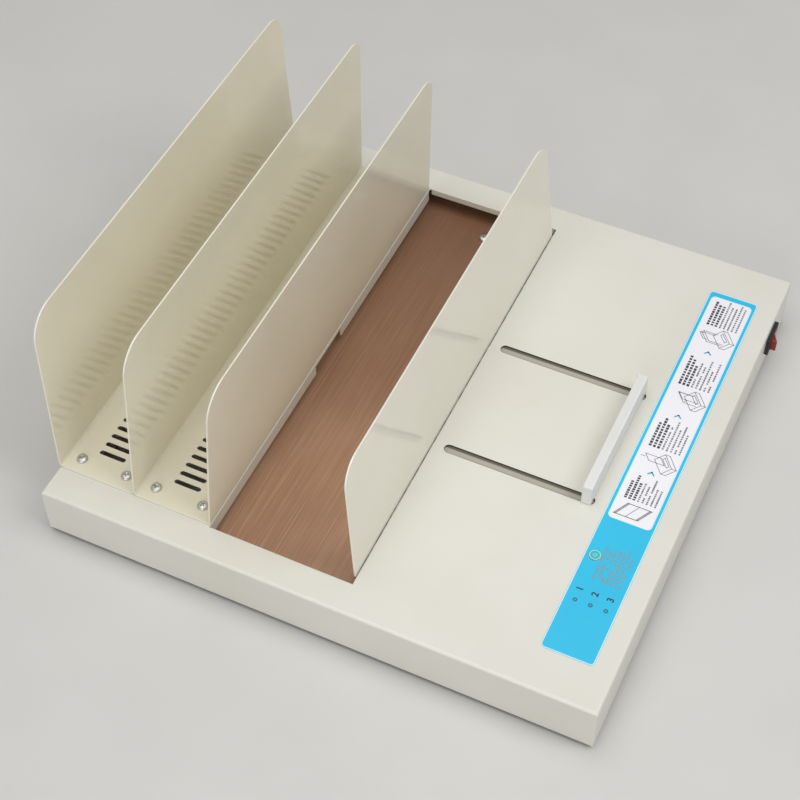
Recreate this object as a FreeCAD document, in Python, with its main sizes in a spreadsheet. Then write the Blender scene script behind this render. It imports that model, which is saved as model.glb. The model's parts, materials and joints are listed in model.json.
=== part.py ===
import FreeCAD, Part
import math
import os
import re

import Sketcher

# Desktop thermal binding machine: a low sheet-metal casing with a heated trough,
# two cooling racks on its left and a sliding clamp plate on the right of the trough.
# X runs along the front from left to right, Y from front to back, Z upwards.
# The origin is the middle of the casing's footprint, on the surface it stands on.

Vector = FreeCAD.Vector
Rotation = FreeCAD.Rotation

SIZES = {
    # casing
    "casing_length": 400,
    "casing_depth": 396,
    "casing_height": 40,
    "casing_lift": 4,
    "wall": 1.2,
    "edge_radius": 2,
    # bottom plate, feet and the brackets that join plate and cover
    "plate_sheet": 1.5,
    "plate_inset": 1,
    "plate_clearance": 0.5,
    "foot_inset": 30,
    "foot_top_width": 18,
    "foot_tip_width": 15,
    "foot_recess_depth": 2.6,
    "foot_recess_width": 9,
    "bracket_width": 14,
    "bracket_rise": 12,
    "bracket_reach": 12,
    "bracket_sheet": 1.2,
    "bracket_inset": 78,
    "base_vent_length": 60,
    "base_vent_width": 4,
    "base_vent_pitch": 14,
    "base_vent_count": 10,
    # small screws that hold the casing together
    "casing_screw_width": 3,
    "casing_screw_head": 5.6,
    "casing_screw_head_height": 1.8,
    "casing_screw_length": 6,
    # heated trough
    "trough_inset": 117,
    "trough_width": 105.5,
    "trough_end_margin": 22.5,
    "flange_drop": 11,
    "hem_drop": 5.3,
    "notch_length": 40,
    "notch_stub": 2,
    "bend_relief": 1.5,
    "fold_radius": 1,
    # heating bed
    "cloth_thickness": 0.3,
    "cloth_skirt": 6,
    "platen_thickness": 7,
    "platen_side_gap": 1.2,
    "platen_left_reach": 6.4,
    "platen_end_reach": 11.5,
    "heater_thickness": 2,
    "heater_margin": 8,
    "heater_end_margin": 35.5,
    "press_plate_thickness": 1,
    "insulation_thickness": 6,
    "tray_sheet": 0.8,
    "tray_gap": 3,
    "tray_rise": 10,
    "tray_stand_height": 2.4,
    "post_width": 10,
    "post_clearance": 0.3,
    "front_post_inset": 7,
    "rear_post_inset": 26.5,
    "guard_inset": 26.5,
    "tray_stand_width": 8,
    "tray_stand_inset": 20,
    "thermostat_width": 16,
    "thermostat_height": 7.6,
    "thermostat_offset": 34,
    "thermal_fuse_width": 4,
    "thermal_fuse_length": 12,
    "thermal_fuse_offset": 30,
    "thermal_fuse_gap": 0.1,
    # cooling racks
    "rack_sheet": 1.2,
    "rack_end_margin": 24,
    "rack_height": 133.4,
    "inner_height": 118.4,
    "rack_bend": 4,
    "rack_small_bend": 2.4,
    "rack_gap": 0.4,
    "rack_corner": 2.5,
    "middle_inset": 58,
    "left_lean": 5,
    "middle_lean": 3.2,
    "inner_lean": 3.2,
    "front_taper": 12,
    "rear_taper": 2,
    "front_round": 23,
    "rear_round": 14,
    "vent_length": 20,
    "vent_width": 3.6,
    "vent_end_margin": 21.9,
    "vent_count": 40,
    "window_margin": 3,
    # screws of the racks, the heating bed and the clamp
    "screw_width": 4,
    "screw_clearance": 0.2,
    "screw_head": 8,
    "screw_head_height": 2.4,
    "screw_head_top": 5.6,
    "rack_screw_length": 8,
    "rack_screw_inset": 11.6,
    "rack_screw_end": 11,
    "nut_width": 7,
    "nut_height": 3.2,
    "post_screw_length": 7,
    # sliding clamp
    "clamp_sheet": 1.2,
    "clamp_gap": 0.7,
    "clamp_end_margin": 28.5,
    "clamp_height": 99,
    "clamp_lean": 8.3,
    "clamp_bend": 2.2,
    "clamp_front_taper": 6.8,
    "clamp_rear_taper": 6.8,
    "clamp_front_round": 19,
    "clamp_rear_round": 20.5,
    "slide_gap": 0.3,
    "foot_plate_width": 160,
    "foot_plate_overhang": 9.5,
    "foot_lip": 4,
    "guide_slot_start": 8,
    "guide_label_gap": 8.5,
    "guide_slot_width": 7,
    "guide_row_inset": 4.2,
    "guide_play": 1.5,
    "handle_width": 7,
    "handle_length": 107,
    "handle_height": 18,
    "handle_edge": 1,
    "bush_clearance": 0.2,
    "handle_screw_length": 14,
    "rail_sheet": 1,
    "rail_lip": 8,
    "rail_flange": 10,
    "rail_start": 6,
    # operating panel
    "label_inset": 14.8,
    "label_width": 36.2,
    "label_front_margin": 30.6,
    "label_rear_margin": 33,
    "label_thickness": 0.4,
    "label_corner": 3,
    "key_across": 7.1,
    "key_along": 77.9,
    "key_width": 8,
    "key_thickness": 0.6,
    "key_clearance": 0.3,
    "key_travel": 0.4,
    "key_float": 0.1,
    "key_stem_width": 3.6,
    "key_stem_clearance": 0.5,
    "lamp_across": 7.7,
    "lamp_along": 41,
    "lamp_pitch": 10.5,
    "lamp_width": 3,
    "lamp_rim_width": 3.8,
    "lamp_rim_height": 1,
    "lamp_clearance": 0.2,
    "lamp_recess": 0.3,
    "board_thickness": 1.6,
    "indicator_board_width": 34,
    "indicator_board_length": 62,
    "indicator_board_start": 27.4,
    "indicator_board_drop": 6,
    "stud_width": 4,
    "stud_inset": 4,
    "push_switch_width": 6,
    "push_switch_height": 3.5,
    "push_switch_floor": 1,
    "push_switch_clearance": 0.1,
    # power board
    "power_board_length": 110,
    "power_board_width": 80,
    "power_board_front": 30,
    "standoff_height": 6,
    "standoff_width": 6,
    "standoff_inset": 5,
    "transformer_length": 34,
    "transformer_width": 28,
    "transformer_height": 20,
    "coil_margin": 4,
    "coil_rise": 3,
    "relay_length": 19,
    "relay_width": 15.5,
    "relay_height": 15.5,
    "capacitor_width": 13,
    "capacitor_height": 16,
    "buzzer_width": 12,
    "buzzer_height": 9,
    "terminal_length": 40,
    "terminal_width": 9,
    "terminal_height": 11,
    "terminal_mouth_width": 4,
    "terminal_pitch": 8,
    "terminal_count": 5,
    "fuse_length": 22,
    "fuse_width": 7,
    "fuse_height": 8,
    "part_spacing": 6,
    # power switch in the right-hand wall
    "switch_from_rear": 45.8,
    "switch_rise": 25,
    "bezel_length": 21,
    "bezel_height": 15,
    "bezel_depth": 3,
    "switch_body_length": 19,
    "switch_body_height": 12.8,
    "switch_body_depth": 14,
    "switch_clearance": 0.2,
    "switch_cavity_depth": 8.5,
    "switch_tab_width": 4.8,
    "switch_tab_thickness": 0.8,
    "switch_tab_length": 7,
    "switch_tab_spread": 7,
    "paddle_half_length": 7.6,
    "paddle_height": 10.2,
    "paddle_clearance": 0.3,
    "paddle_crown": 2.4,
    "paddle_rise": 2,
    "paddle_taper": 1,
    "paddle_keel_width": 3,
    "paddle_keel_depth": 3,
    "pivot_depth": 2,
    "pivot_width": 2,
    "pivot_length": 0.8,
    "pivot_clearance": 0.05,
    # mains inlet in the rear wall
    "inlet_from_right": 50,
    "inlet_rise": 20,
    "inlet_flange_length": 50,
    "inlet_flange_height": 24,
    "inlet_flange_depth": 2.5,
    "inlet_flange_corner": 5,
    "inlet_body_length": 28,
    "inlet_body_height": 20.5,
    "inlet_body_depth": 18,
    "inlet_clearance": 0.3,
    "inlet_mouth_length": 24.4,
    "inlet_mouth_height": 16.4,
    "inlet_mouth_depth": 16,
    "inlet_mouth_slant": 4.5,
    "inlet_screw_spread": 40,
    "inlet_screw_length": 9,
    "blade_width": 4,
    "blade_thickness": 2,
    "blade_length": 14,
    "blade_root": 8,
    "blade_spread": 14,
    "blade_offset": 4,
    # how far a cut runs past the material that it opens
    "overrun": 1,
    # how near a found place must be to its formula
    "match_tolerance": 0.01,
}

# Places worked out from the sizes above, each a formula in their names.
PLACES = {
    "left": "-casing_length / 2",
    "right": "casing_length / 2",
    "front": "-casing_depth / 2",
    "rear": "casing_depth / 2",
    "top": "casing_lift + casing_height",
    "under": "top - wall",
    "plate_low": "casing_lift + plate_inset",
    "plate_top": "plate_low + plate_sheet",
    "trough_left": "left + trough_inset",
    "trough_right": "trough_left + trough_width",
    "trough_middle": "trough_left + trough_width / 2",
    "trough_end": "rear - trough_end_margin",
    "tray_low": "plate_top + tray_stand_height",
    "insulation_low": "tray_low + tray_sheet",
    "press_plate_low": "insulation_low + insulation_thickness",
    "heater_low": "press_plate_low + press_plate_thickness",
    "platen_low": "heater_low + heater_thickness",
    "platen_top": "platen_low + platen_thickness",
    "cloth_top": "platen_top + cloth_thickness",
    "platen_left": "trough_left - platen_left_reach",
    "platen_width": "trough_right - platen_side_gap - platen_left",
    "platen_end": "trough_end + platen_end_reach",
    "heater_end": "platen_end - heater_end_margin",
    "front_post_row": "-(platen_end - front_post_inset)",
    "rear_post_row": "platen_end - rear_post_inset",
    "guard_row": "-(platen_end - guard_inset)",
    "screw_hole": "screw_width + 2 * screw_clearance",
    "casing_screw_hole": "casing_screw_width + 2 * screw_clearance",
    "middle_left": "left + middle_inset",
    "middle_width": "trough_inset - middle_inset",
    "rack_end": "rear - rack_end_margin",
    "rack_top": "top + rack_height",
    "rack_floor": "top + rack_sheet",
    "inner_top": "top + inner_height",
    "left_vent_middle": "left + middle_inset / 2",
    "middle_vent_middle": "middle_left + middle_width / 2",
    "vent_last": "rack_end - vent_end_margin",
    "vent_pitch": "2 * vent_last / (vent_count - 1)",
    "rack_screw_row": "rack_end - rack_screw_end",
    "clamp_end": "rear - clamp_end_margin",
    "clamp_right": "trough_right - clamp_gap",
    "clamp_left": "clamp_right - clamp_sheet",
    "clamp_top": "top + clamp_height",
    "foot_plate_top": "under - slide_gap",
    "foot_plate_low": "foot_plate_top - clamp_sheet",
    "guide_left": "trough_right + guide_slot_start",
    "guide_right": "label_left - guide_label_gap",
    "guide_row": "handle_length / 2 - guide_row_inset",
    "handle_middle": "guide_right - guide_slot_width / 2 - guide_play",
    "handle_low": "top + slide_gap",
    "foot_plate_right": "handle_middle + foot_plate_overhang",
    "rail_left": "trough_right + rail_start",
    "rail_top": "foot_plate_low - slide_gap",
    "label_left": "right - label_inset - label_width",
    "label_front": "front + label_front_margin",
    "label_rear": "rear - label_rear_margin",
    "key_x": "label_left + key_across",
    "key_y": "label_front + key_along",
    "key_low": "top + key_travel + key_float",
    "lamp_y": "label_front + lamp_along",
    "indicator_left": "label_left + (label_width - indicator_board_width) / 2",
    "indicator_front": "label_front + indicator_board_start",
    "indicator_top": "under - indicator_board_drop",
    "stem_foot": "indicator_top + push_switch_floor + key_travel + key_float",
    "power_left": "(trough_right + right - power_board_width) / 2",
    "power_front": "front + power_board_front",
    "power_low": "plate_top + standoff_height",
    "power_top": "power_low + board_thickness",
    "switch_y": "rear - switch_from_rear",
    "switch_z": "casing_lift + switch_rise",
    "bezel_face": "right + bezel_depth",
    "pivot_x": "bezel_face - pivot_depth",
    "inlet_x": "right - inlet_from_right",
    "inlet_z": "casing_lift + inlet_rise",
    "inlet_face": "rear + inlet_flange_depth",
    "inlet_floor": "inlet_face - inlet_mouth_depth",
}

AXIS_TURNS = {
    "x": Rotation(Vector(0, 1, 0), 90),
    "y": Rotation(Vector(1, 0, 0), -90),
    "z": Rotation(),
}

ENDS = ("front", "rear")

doc = FreeCAD.newDocument("thermal_binder")
sheet = doc.addObject("Spreadsheet::Sheet", "dim")
nodes = []


def fill_sheet():
    """Write every size into the sheet, its name beside it."""
    for row, (name, size) in enumerate(SIZES.items(), start=1):
        sheet.set(f"A{row}", name)
        sheet.set(f"B{row}", str(size))
        sheet.setAlias(f"B{row}", name)
    doc.recompute()


def formula(text):
    """Spell a formula out on the cells of the sheet."""
    def spell(match):
        word = match.group(0)
        if word in PLACES:
            return "(" + formula(PLACES[word]) + ")"
        return "dim." + word if word in SIZES else word
    return re.sub(r"[a-z][a-z_]*", spell, text)


def value(text):
    """The number that a formula gives."""
    return float(sheet.evalExpression(formula(text)))


def bind(thing, **formulas):
    """Tie properties to formulas; a double underscore in a name stands for a dot."""
    for name, text in formulas.items():
        thing.setExpression(name.replace("__", "."), formula(text))


def node(piece, label):
    """Keep a finished piece as a sub-part of its own."""
    piece.Label = label
    nodes.append(piece)
    return piece


# Solids made from primitives

def place(piece, low):
    """Tie a piece's place to three formulas."""
    bind(piece, Placement__Base__x=low[0], Placement__Base__y=low[1], Placement__Base__z=low[2])
    return piece


def box(name, low, size):
    """A block from its lowest corner, with its length, width and height."""
    piece = doc.addObject("Part::Box", name)
    bind(piece, Length=size[0], Width=size[1], Height=size[2])
    return place(piece, low)


def rod(name, foot, width, length, axis="z"):
    """A cylinder that rises from the middle of its foot along an axis."""
    piece = doc.addObject("Part::Cylinder", name)
    piece.Placement = FreeCAD.Placement(Vector(), AXIS_TURNS[axis])
    bind(piece, Radius=f"({width}) / 2", Height=length)
    return place(piece, foot)


def taper(name, foot, low_width, high_width, length, axis="z"):
    """A cone's frustum that rises from the middle of its foot along an axis."""
    piece = doc.addObject("Part::Cone", name)
    piece.Placement = FreeCAD.Placement(Vector(), AXIS_TURNS[axis])
    bind(piece, Radius1=f"({low_width}) / 2", Radius2=f"({high_width}) / 2", Height=length)
    return place(piece, foot)


def join(name, *pieces):
    """One solid from several that meet."""
    piece = doc.addObject("Part::MultiFuse", name)
    piece.Shapes = list(pieces)
    return piece


def group(name, pieces):
    """Several separate solids under one name."""
    piece = doc.addObject("Part::Compound", name)
    piece.Links = list(pieces)
    return piece


def cut(name, base, *tools):
    """A solid with others taken out of it."""
    piece = doc.addObject("Part::Cut", name)
    piece.Base = base
    piece.Tool = tools[0] if len(tools) == 1 else group(name + "_cuts", tools)
    return piece


def screw(name, seat, length, axis="z", head_up=True, small=False):
    """A pan-head screw: seat is the place under the head, on the screw's axis."""
    width = "casing_screw_width" if small else "screw_width"
    head = "casing_screw_head" if small else "screw_head"
    rise = "casing_screw_head_height" if small else "screw_head_height"
    crown = f"({head}) * screw_head_top / screw_head"
    spot = {"x": 0, "y": 1, "z": 2}[axis]
    foot = list(seat)
    if head_up:
        foot[spot] = f"{seat[spot]} - ({length})"
        cap = taper(name + "_head", seat, head, crown, rise, axis)
    else:
        low = list(seat)
        low[spot] = f"{seat[spot]} - ({rise})"
        cap = taper(name + "_head", low, crown, head, rise, axis)
    shank = rod(name + "_shank", foot, width, length, axis)
    return join(name, cap, shank)


# Solids made from sketches

def new_body(label):
    """An empty body that becomes a sub-part under its label."""
    return node(doc.addObject("PartDesign::Body", label), label)


def sketch(body, name, role, offset="0"):
    """A sketch on one of the body's own origin planes, moved along its normal."""
    drawing = body.newObject("Sketcher::SketchObject", name)
    plane = next(face for face in body.Origin.OriginFeatures if face.Role == role)
    drawing.AttachmentSupport = [(plane, "")]
    drawing.MapMode = "FlatFace"
    bind(drawing, AttachmentOffset__Base__z=offset)
    return drawing


def fix_point(drawing, shape, end, x, y):
    """Tie a point of a sketch to two formulas."""
    for kind, text in (("DistanceX", x), ("DistanceY", y)):
        tie = Sketcher.Constraint(kind, -1, 1, shape, end, value(text))
        index = drawing.addConstraint(tie)
        drawing.setExpression(f"Constraints[{index}]", formula(text))


def outline(drawing, points, arcs=None):
    """A closed outline through pairs of formulas, straight but for the arcs.

    An arc is given under the number of the point that it starts from, by its
    middle and its radius, and takes the shorter way round.
    """
    arcs = arcs or {}
    first = drawing.GeometryCount
    count = len(points)
    spots = [Vector(value(x), value(y), 0) for x, y in points]
    ends = []
    for index in range(count):
        near, far = spots[index], spots[(index + 1) % count]
        if index in arcs:
            x, y, radius = arcs[index]
            shape, order = short_arc(Vector(value(x), value(y), 0), value(radius), near, far)
        else:
            shape, order = Part.LineSegment(near, far), (1, 2)
        drawing.addGeometry(shape)
        ends.append(order)
    for index in range(count):
        following = (index + 1) % count
        drawing.addConstraint(Sketcher.Constraint(
            "Coincident", first + index, ends[index][1], first + following, ends[following][0]))
    for index, (x, y) in enumerate(points):
        fix_point(drawing, first + index, ends[index][0], x, y)
    for index, (_, _, radius) in arcs.items():
        fix_radius(drawing, first + index, radius)


def short_arc(middle, radius, near, far):
    """The shorter arc between two points, and which of its ends come first and last."""
    turns = [math.atan2(spot.y - middle.y, spot.x - middle.x) for spot in (near, far)]
    forward = (turns[1] - turns[0]) % math.tau < math.pi
    start, stop = turns if forward else reversed(turns)
    arc = Part.ArcOfCircle(Part.Circle(middle, Vector(0, 0, 1), radius), start, stop)
    return arc, (1, 2) if forward else (2, 1)


def fix_radius(drawing, index, text):
    """Tie the radius of an arc or a circle to a formula."""
    tie = drawing.addConstraint(Sketcher.Constraint("Radius", index, value(text)))
    drawing.setExpression(f"Constraints[{tie}]", formula(text))


def rectangle(drawing, x_low, y_low, x_high, y_high):
    """A rectangle between two corners."""
    outline(drawing, [(x_low, y_low), (x_high, y_low), (x_high, y_high), (x_low, y_high)])


def circle(drawing, x, y, width):
    """A circle by its middle and its width."""
    radius = value(f"({width}) / 2")
    spot = Vector(value(x), value(y), 0)
    index = drawing.addGeometry(Part.Circle(spot, Vector(0, 0, 1), radius))
    fix_point(drawing, index, 3, x, y)
    fix_radius(drawing, index, f"({width}) / 2")


def obround(drawing, x_low, x_high, y, width):
    """A slot with round ends, along the sketch's first axis."""
    radius = value(f"({width}) / 2")
    centres = (f"({x_low}) + ({width}) / 2", f"({x_high}) - ({width}) / 2")
    near, far = (Vector(value(x), value(y), 0) for x in centres)
    rise = Vector(0, radius, 0)
    quarter = math.pi / 2
    shapes = (
        Part.ArcOfCircle(Part.Circle(near, Vector(0, 0, 1), radius), quarter, 3 * quarter),
        Part.LineSegment(near - rise, far - rise),
        Part.ArcOfCircle(Part.Circle(far, Vector(0, 0, 1), radius), -quarter, quarter),
        Part.LineSegment(far + rise, near + rise),
    )
    first = drawing.addGeometry(shapes[0])
    for shape in shapes[1:]:
        drawing.addGeometry(shape)
    for index in range(4):
        following = first + (index + 1) % 4
        drawing.addConstraint(Sketcher.Constraint("Tangent", first + index, 2, following, 1))
    for arc, x in zip((first, first + 2), centres):
        fix_point(drawing, arc, 3, x, y)
        fix_radius(drawing, arc, f"({width}) / 2")


def settle(step):
    """Work a step out and see that it gives a sound shape."""
    doc.recompute()
    if step.Shape.isNull() or not step.Shape.isValid():
        raise RuntimeError(f"{step.Label} gives no sound shape")
    return step


def pad(body, drawing, name, length, both_ways=False, backwards=False):
    """Raise a sketch into material."""
    step = body.newObject("PartDesign::Pad", name)
    step.Profile = drawing
    step.Midplane = both_ways
    step.Reversed = backwards
    bind(step, Length=length)
    return settle(step)


def pocket(body, drawing, name, depth, backwards=False):
    """Cut a sketch out of the material, and see that it did."""
    before = body.Tip.Shape.Volume
    step = body.newObject("PartDesign::Pocket", name)
    step.Profile = drawing
    step.Reversed = backwards
    bind(step, Length=depth)
    if settle(step).Shape.Volume >= before:
        raise RuntimeError(f"{name} cuts nothing")
    return step


def round_edges(body, name, radius, chosen):
    """Round the edges of the body's last step that a test picks."""
    base = body.Tip
    picked = [f"Edge{i}" for i, edge in enumerate(base.Shape.Edges, start=1) if chosen(edge)]
    step = body.newObject("PartDesign::Fillet", name)
    step.Base = (base, picked)
    bind(step, Radius=radius)
    return settle(step)


def repeat(body, steps, name, role, count, length, backwards=False):
    """Repeat steps in a row along one of the body's origin axes."""
    axis = next(line for line in body.Origin.OriginFeatures if line.Role == role)
    row = body.newObject("PartDesign::LinearPattern", name)
    row.Originals = steps
    row.Direction = (axis, [""])
    row.Reversed = backwards
    bind(row, Length=length, Occurrences=count)
    body.Tip = row
    return settle(row)


def runs_along(edge, axis):
    """Whether an edge is straight and lies along an axis."""
    if edge.Curve.TypeId != "Part::GeomLine":
        return False
    direction = edge.tangentAt(edge.FirstParameter)
    return abs(abs(direction.dot(axis)) - 1) < 1e-6


def is_near(number, text):
    """Whether a number is the value of a formula, to within a small tolerance."""
    return abs(number - value(text)) < value("match_tolerance")


# Casing

def make_top_cover():
    """The folded top cover with its trough, guide slots and openings."""
    body = new_body("top_cover")
    base = sketch(body, "cover_outline", "XY_Plane", "casing_lift")
    rectangle(base, "left", "front", "right", "rear")
    pad(body, base, "cover_block", "casing_height")
    round_edges(body, "cover_edges", "edge_radius",
                lambda edge: is_near(edge.BoundBox.ZMin, "top"))
    solid = body.Tip
    faces = [f"Face{i}" for i, face in enumerate(solid.Shape.Faces, start=1)
             if is_near(face.BoundBox.ZMax, "casing_lift")]
    hollow = body.newObject("PartDesign::Thickness", "cover_hollow")
    hollow.Base = (solid, faces)
    hollow.Reversed = True
    bind(hollow, Value="wall")
    settle(hollow)
    cut_trough(body)
    cut_panel_openings(body)
    cut_wall_openings(body)


def cut_trough(body):
    """The trough's opening, its folded left flange and its two end hems."""
    opening = sketch(body, "trough_outline", "XY_Plane", "top")
    rectangle(opening, "trough_left", "-trough_end", "trough_right", "trough_end")
    pocket(body, opening, "trough_opening", "wall + overrun")
    flange = sketch(body, "flange_outline", "YZ_Plane", "trough_left")
    low = "top - flange_drop"
    stub = "top - wall - notch_stub"
    end = "(trough_end - bend_relief)"
    outline(flange, [
        (f"-{end}", "top - wall / 2"), (end, "top - wall / 2"),
        (end, low), ("notch_length / 2", low),
        ("notch_length / 2", stub), ("-notch_length / 2", stub),
        ("-notch_length / 2", low), (f"-{end}", low),
    ])
    pad(body, flange, "trough_flange", "wall", backwards=True)
    for side, sign in (("front", "-"), ("rear", "")):
        hem = sketch(body, f"{side}_hem_outline", "XY_Plane", "top - wall / 2")
        inner = f"{sign}trough_end"
        outer = f"{sign}(trough_end + wall)"
        rectangle(hem, "trough_left + bend_relief", inner, "trough_right - bend_relief", outer)
        pad(body, hem, f"{side}_hem", "hem_drop - wall / 2", backwards=True)
    round_edges(body, "trough_bend", "fold_radius", lambda edge: runs_along(
        edge, Vector(0, 1, 0)) and is_near(edge.BoundBox.ZMin, "top")
        and is_near(edge.BoundBox.XMax, "trough_left"))


def cut_panel_openings(body):
    """Guide slots, rack windows and the holes for screws, lamps and the key."""
    slots = sketch(body, "guide_slot_outlines", "XY_Plane", "top")
    for row in ("guide_row", "-guide_row"):
        obround(slots, "guide_left", "guide_right", row, "guide_slot_width")
    pocket(body, slots, "guide_slots", "wall + overrun")
    windows = sketch(body, "window_outlines", "XY_Plane", "top")
    reach = "vent_length / 2 + window_margin"
    end = "vent_last + vent_pitch / 2"
    for middle in ("left_vent_middle", "middle_vent_middle"):
        rectangle(windows, f"{middle} - ({reach})", f"-({end})", f"{middle} + {reach}", end)
    pocket(body, windows, "rack_windows", "wall + overrun")
    holes = sketch(body, "panel_hole_outlines", "XY_Plane", "top")
    for x, y in rack_screw_places():
        circle(holes, x, y, "screw_hole")
    for x in lamp_places():
        circle(holes, x, "lamp_y", "lamp_width + 2 * lamp_clearance")
    circle(holes, "key_x", "key_y", "key_stem_width + 2 * key_stem_clearance")
    pocket(body, holes, "panel_holes", "wall + overrun")


def cut_wall_openings(body):
    """The switch's opening in the right wall and the inlet's in the rear wall."""
    opening = sketch(body, "switch_opening_outline", "YZ_Plane", "right")
    half = "switch_body_length / 2 + switch_clearance"
    rise = "switch_body_height / 2 + switch_clearance"
    rectangle(opening, f"switch_y - ({half})", f"switch_z - ({rise})",
              f"switch_y + {half}", f"switch_z + {rise}")
    pocket(body, opening, "switch_opening", "wall + overrun")
    inlet = sketch(body, "inlet_opening_outline", "XZ_Plane", "-rear")
    half = "inlet_body_length / 2 + inlet_clearance"
    rise = "inlet_body_height / 2 + inlet_clearance"
    rectangle(inlet, f"inlet_x - ({half})", f"inlet_z - ({rise})",
              f"inlet_x + {half}", f"inlet_z + {rise}")
    for x in inlet_screw_places():
        circle(inlet, x, "inlet_z", "casing_screw_hole")
    pocket(body, inlet, "inlet_opening", "wall + overrun", backwards=True)


def bracket_places():
    """Each casing bracket as the side that it stands on and its place along it."""
    ends = {"front": "right", "rear": "right", "left": "rear", "right": "rear"}
    return [(side, f"{sign}({ends[side]} - bracket_inset)") for side in ends for sign in ("-", "")]


def make_bottom_plate():
    """The flat bottom plate with its vents and screw holes."""
    body = new_body("bottom_plate")
    base = sketch(body, "plate_outline", "XY_Plane", "plate_low")
    gap = "wall + plate_clearance"
    rectangle(base, f"left + {gap}", f"front + {gap}", f"right - ({gap})", f"rear - ({gap})")
    pad(body, base, "plate_block", "plate_sheet")
    holes = sketch(body, "plate_hole_outlines", "XY_Plane", "plate_top")
    for x, y in foot_places().values():
        circle(holes, x, y, "casing_screw_hole")
    for side, along in bracket_places():
        circle(holes, *bracket_screw_place(side, along), "casing_screw_hole")
    for end in ENDS:
        circle(holes, "trough_middle", f"{end}_post_row", "screw_hole")
    for x, y in standoff_places():
        circle(holes, x, y, "casing_screw_hole")
    pocket(body, holes, "plate_holes", "plate_sheet + overrun")
    vents = sketch(body, "base_vent_outline", "XY_Plane", "plate_top")
    start = "power_left + (power_board_width - base_vent_length) / 2"
    obround(vents, start, f"{start} + base_vent_length", "0", "base_vent_width")
    slot = pocket(body, vents, "base_vent", "plate_sheet + overrun")
    repeat(body, [slot], "base_vents", "Y_Axis", "base_vent_count",
           "(base_vent_count - 1) * base_vent_pitch")


def foot_places():
    """The middle of each foot by name."""
    across = {"left": "left + foot_inset", "right": "right - foot_inset"}
    along = {"front": "front + foot_inset", "rear": "rear - foot_inset"}
    return {f"foot_{end}_{side}": (across[side], along[end]) for end in along for side in across}


def make_feet():
    """Four tapered rubber feet, each with a recess for its screw's head."""
    screws = []
    for name, (x, y) in foot_places().items():
        block = taper(f"{name}_block", (x, y, "0"), "foot_tip_width", "foot_top_width", "plate_low")
        recess = rod(f"{name}_recess", (x, y, "-overrun"), "foot_recess_width",
                     "foot_recess_depth + overrun")
        hole = rod(f"{name}_hole", (x, y, "0"), "casing_screw_hole", "plate_low + overrun")
        node(cut(f"{name}_cut", block, recess, hole), name)
        screws.append(screw(f"{name}_screw", (x, y, "foot_recess_depth"),
                            "casing_screw_length", head_up=False, small=True))
    node(group("foot_screw_group", screws), "foot_screws")


def bracket_screw_place(side, along):
    """Where the screw of a bracket passes the bottom plate."""
    reach = "wall + bracket_reach / 2"
    return {
        "front": (along, f"front + {reach}"),
        "rear": (along, f"rear - ({reach})"),
        "left": (f"left + {reach}", along),
        "right": (f"right - ({reach})", along),
    }[side]


def make_brackets():
    """Small folded angles that stand on the bottom plate against the cover's walls."""
    angles = []
    screws = []
    for index, (side, along) in enumerate(bracket_places()):
        name = f"bracket_{index}"
        start = f"{along} - bracket_width / 2"
        legs = {
            "front": ((start, "front + wall"), ("bracket_width", "bracket_reach"),
                      (start, "front + wall"), ("bracket_width", "bracket_sheet")),
            "rear": ((start, "rear - wall - bracket_reach"), ("bracket_width", "bracket_reach"),
                     (start, "rear - wall - bracket_sheet"), ("bracket_width", "bracket_sheet")),
            "left": (("left + wall", start), ("bracket_reach", "bracket_width"),
                     ("left + wall", start), ("bracket_sheet", "bracket_width")),
            "right": (("right - wall - bracket_reach", start), ("bracket_reach", "bracket_width"),
                      ("right - wall - bracket_sheet", start), ("bracket_sheet", "bracket_width")),
        }[side]
        lying = box(f"{name}_lying", (*legs[0], "plate_top"), (*legs[1], "bracket_sheet"))
        upright = box(f"{name}_upright", (*legs[2], "plate_top"), (*legs[3], "bracket_rise"))
        x, y = bracket_screw_place(side, along)
        hole = rod(f"{name}_hole", (x, y, "plate_low"), "casing_screw_hole", "casing_screw_length")
        angles.append(cut(f"{name}_cut", join(f"{name}_angle", lying, upright), hole))
        screws.append(screw(f"{name}_screw", (x, y, "plate_low"), "casing_screw_length",
                            head_up=False, small=True))
    node(group("bracket_group", angles), "casing_brackets")
    node(group("casing_screw_group", screws), "casing_screws")


# Cooling racks

def rack_screw_places():
    """The middle of every rack screw."""
    columns = ("left + rack_screw_inset", "middle_left - rack_screw_inset",
               "middle_left + rack_screw_inset", "trough_left - rack_screw_inset")
    return [(x, y) for x in columns for y in ("-rack_screw_row", "rack_screw_row")]


def plate_waste(drawing, sign, end, start, rise, inward, radius):
    """The waste outside a standing plate's sloping end and its round upper corner."""
    slope = f"(({inward}) / ({rise} - ({start})))"
    stretch = f"sqrt(1 + {slope} ^ 2)"
    middle = f"({end} - {inward} - {radius} * ({stretch} - {slope}))"
    touch = (f"{middle} + {radius} / {stretch}",
             f"{rise} - {radius} + {radius} * {slope} / {stretch}")
    past = f"{end} + overrun"
    points = [(past, start), (end, start), touch, (middle, rise),
              (middle, f"{rise} + overrun"), (past, f"{rise} + overrun")]
    outline(drawing, [(f"{sign}({y})", z) for y, z in points],
            {2: (f"{sign}({middle})", f"{rise} - {radius}", radius)})


def trim_plate(body, name, end, start, rise, front, rear, right_of="left - casing_length / 2"):
    """Cut back both ends of the plates that stand to the right of a place.

    The front and the rear are each given by a taper and a radius.
    """
    drawing = sketch(body, f"{name}_trim_outline", "YZ_Plane", right_of)
    for sign, (inward, radius) in (("-", front), ("", rear)):
        plate_waste(drawing, sign, end, start, rise, inward, radius)
    pocket(body, drawing, f"{name}_trim", "2 * casing_length", backwards=True)


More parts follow.
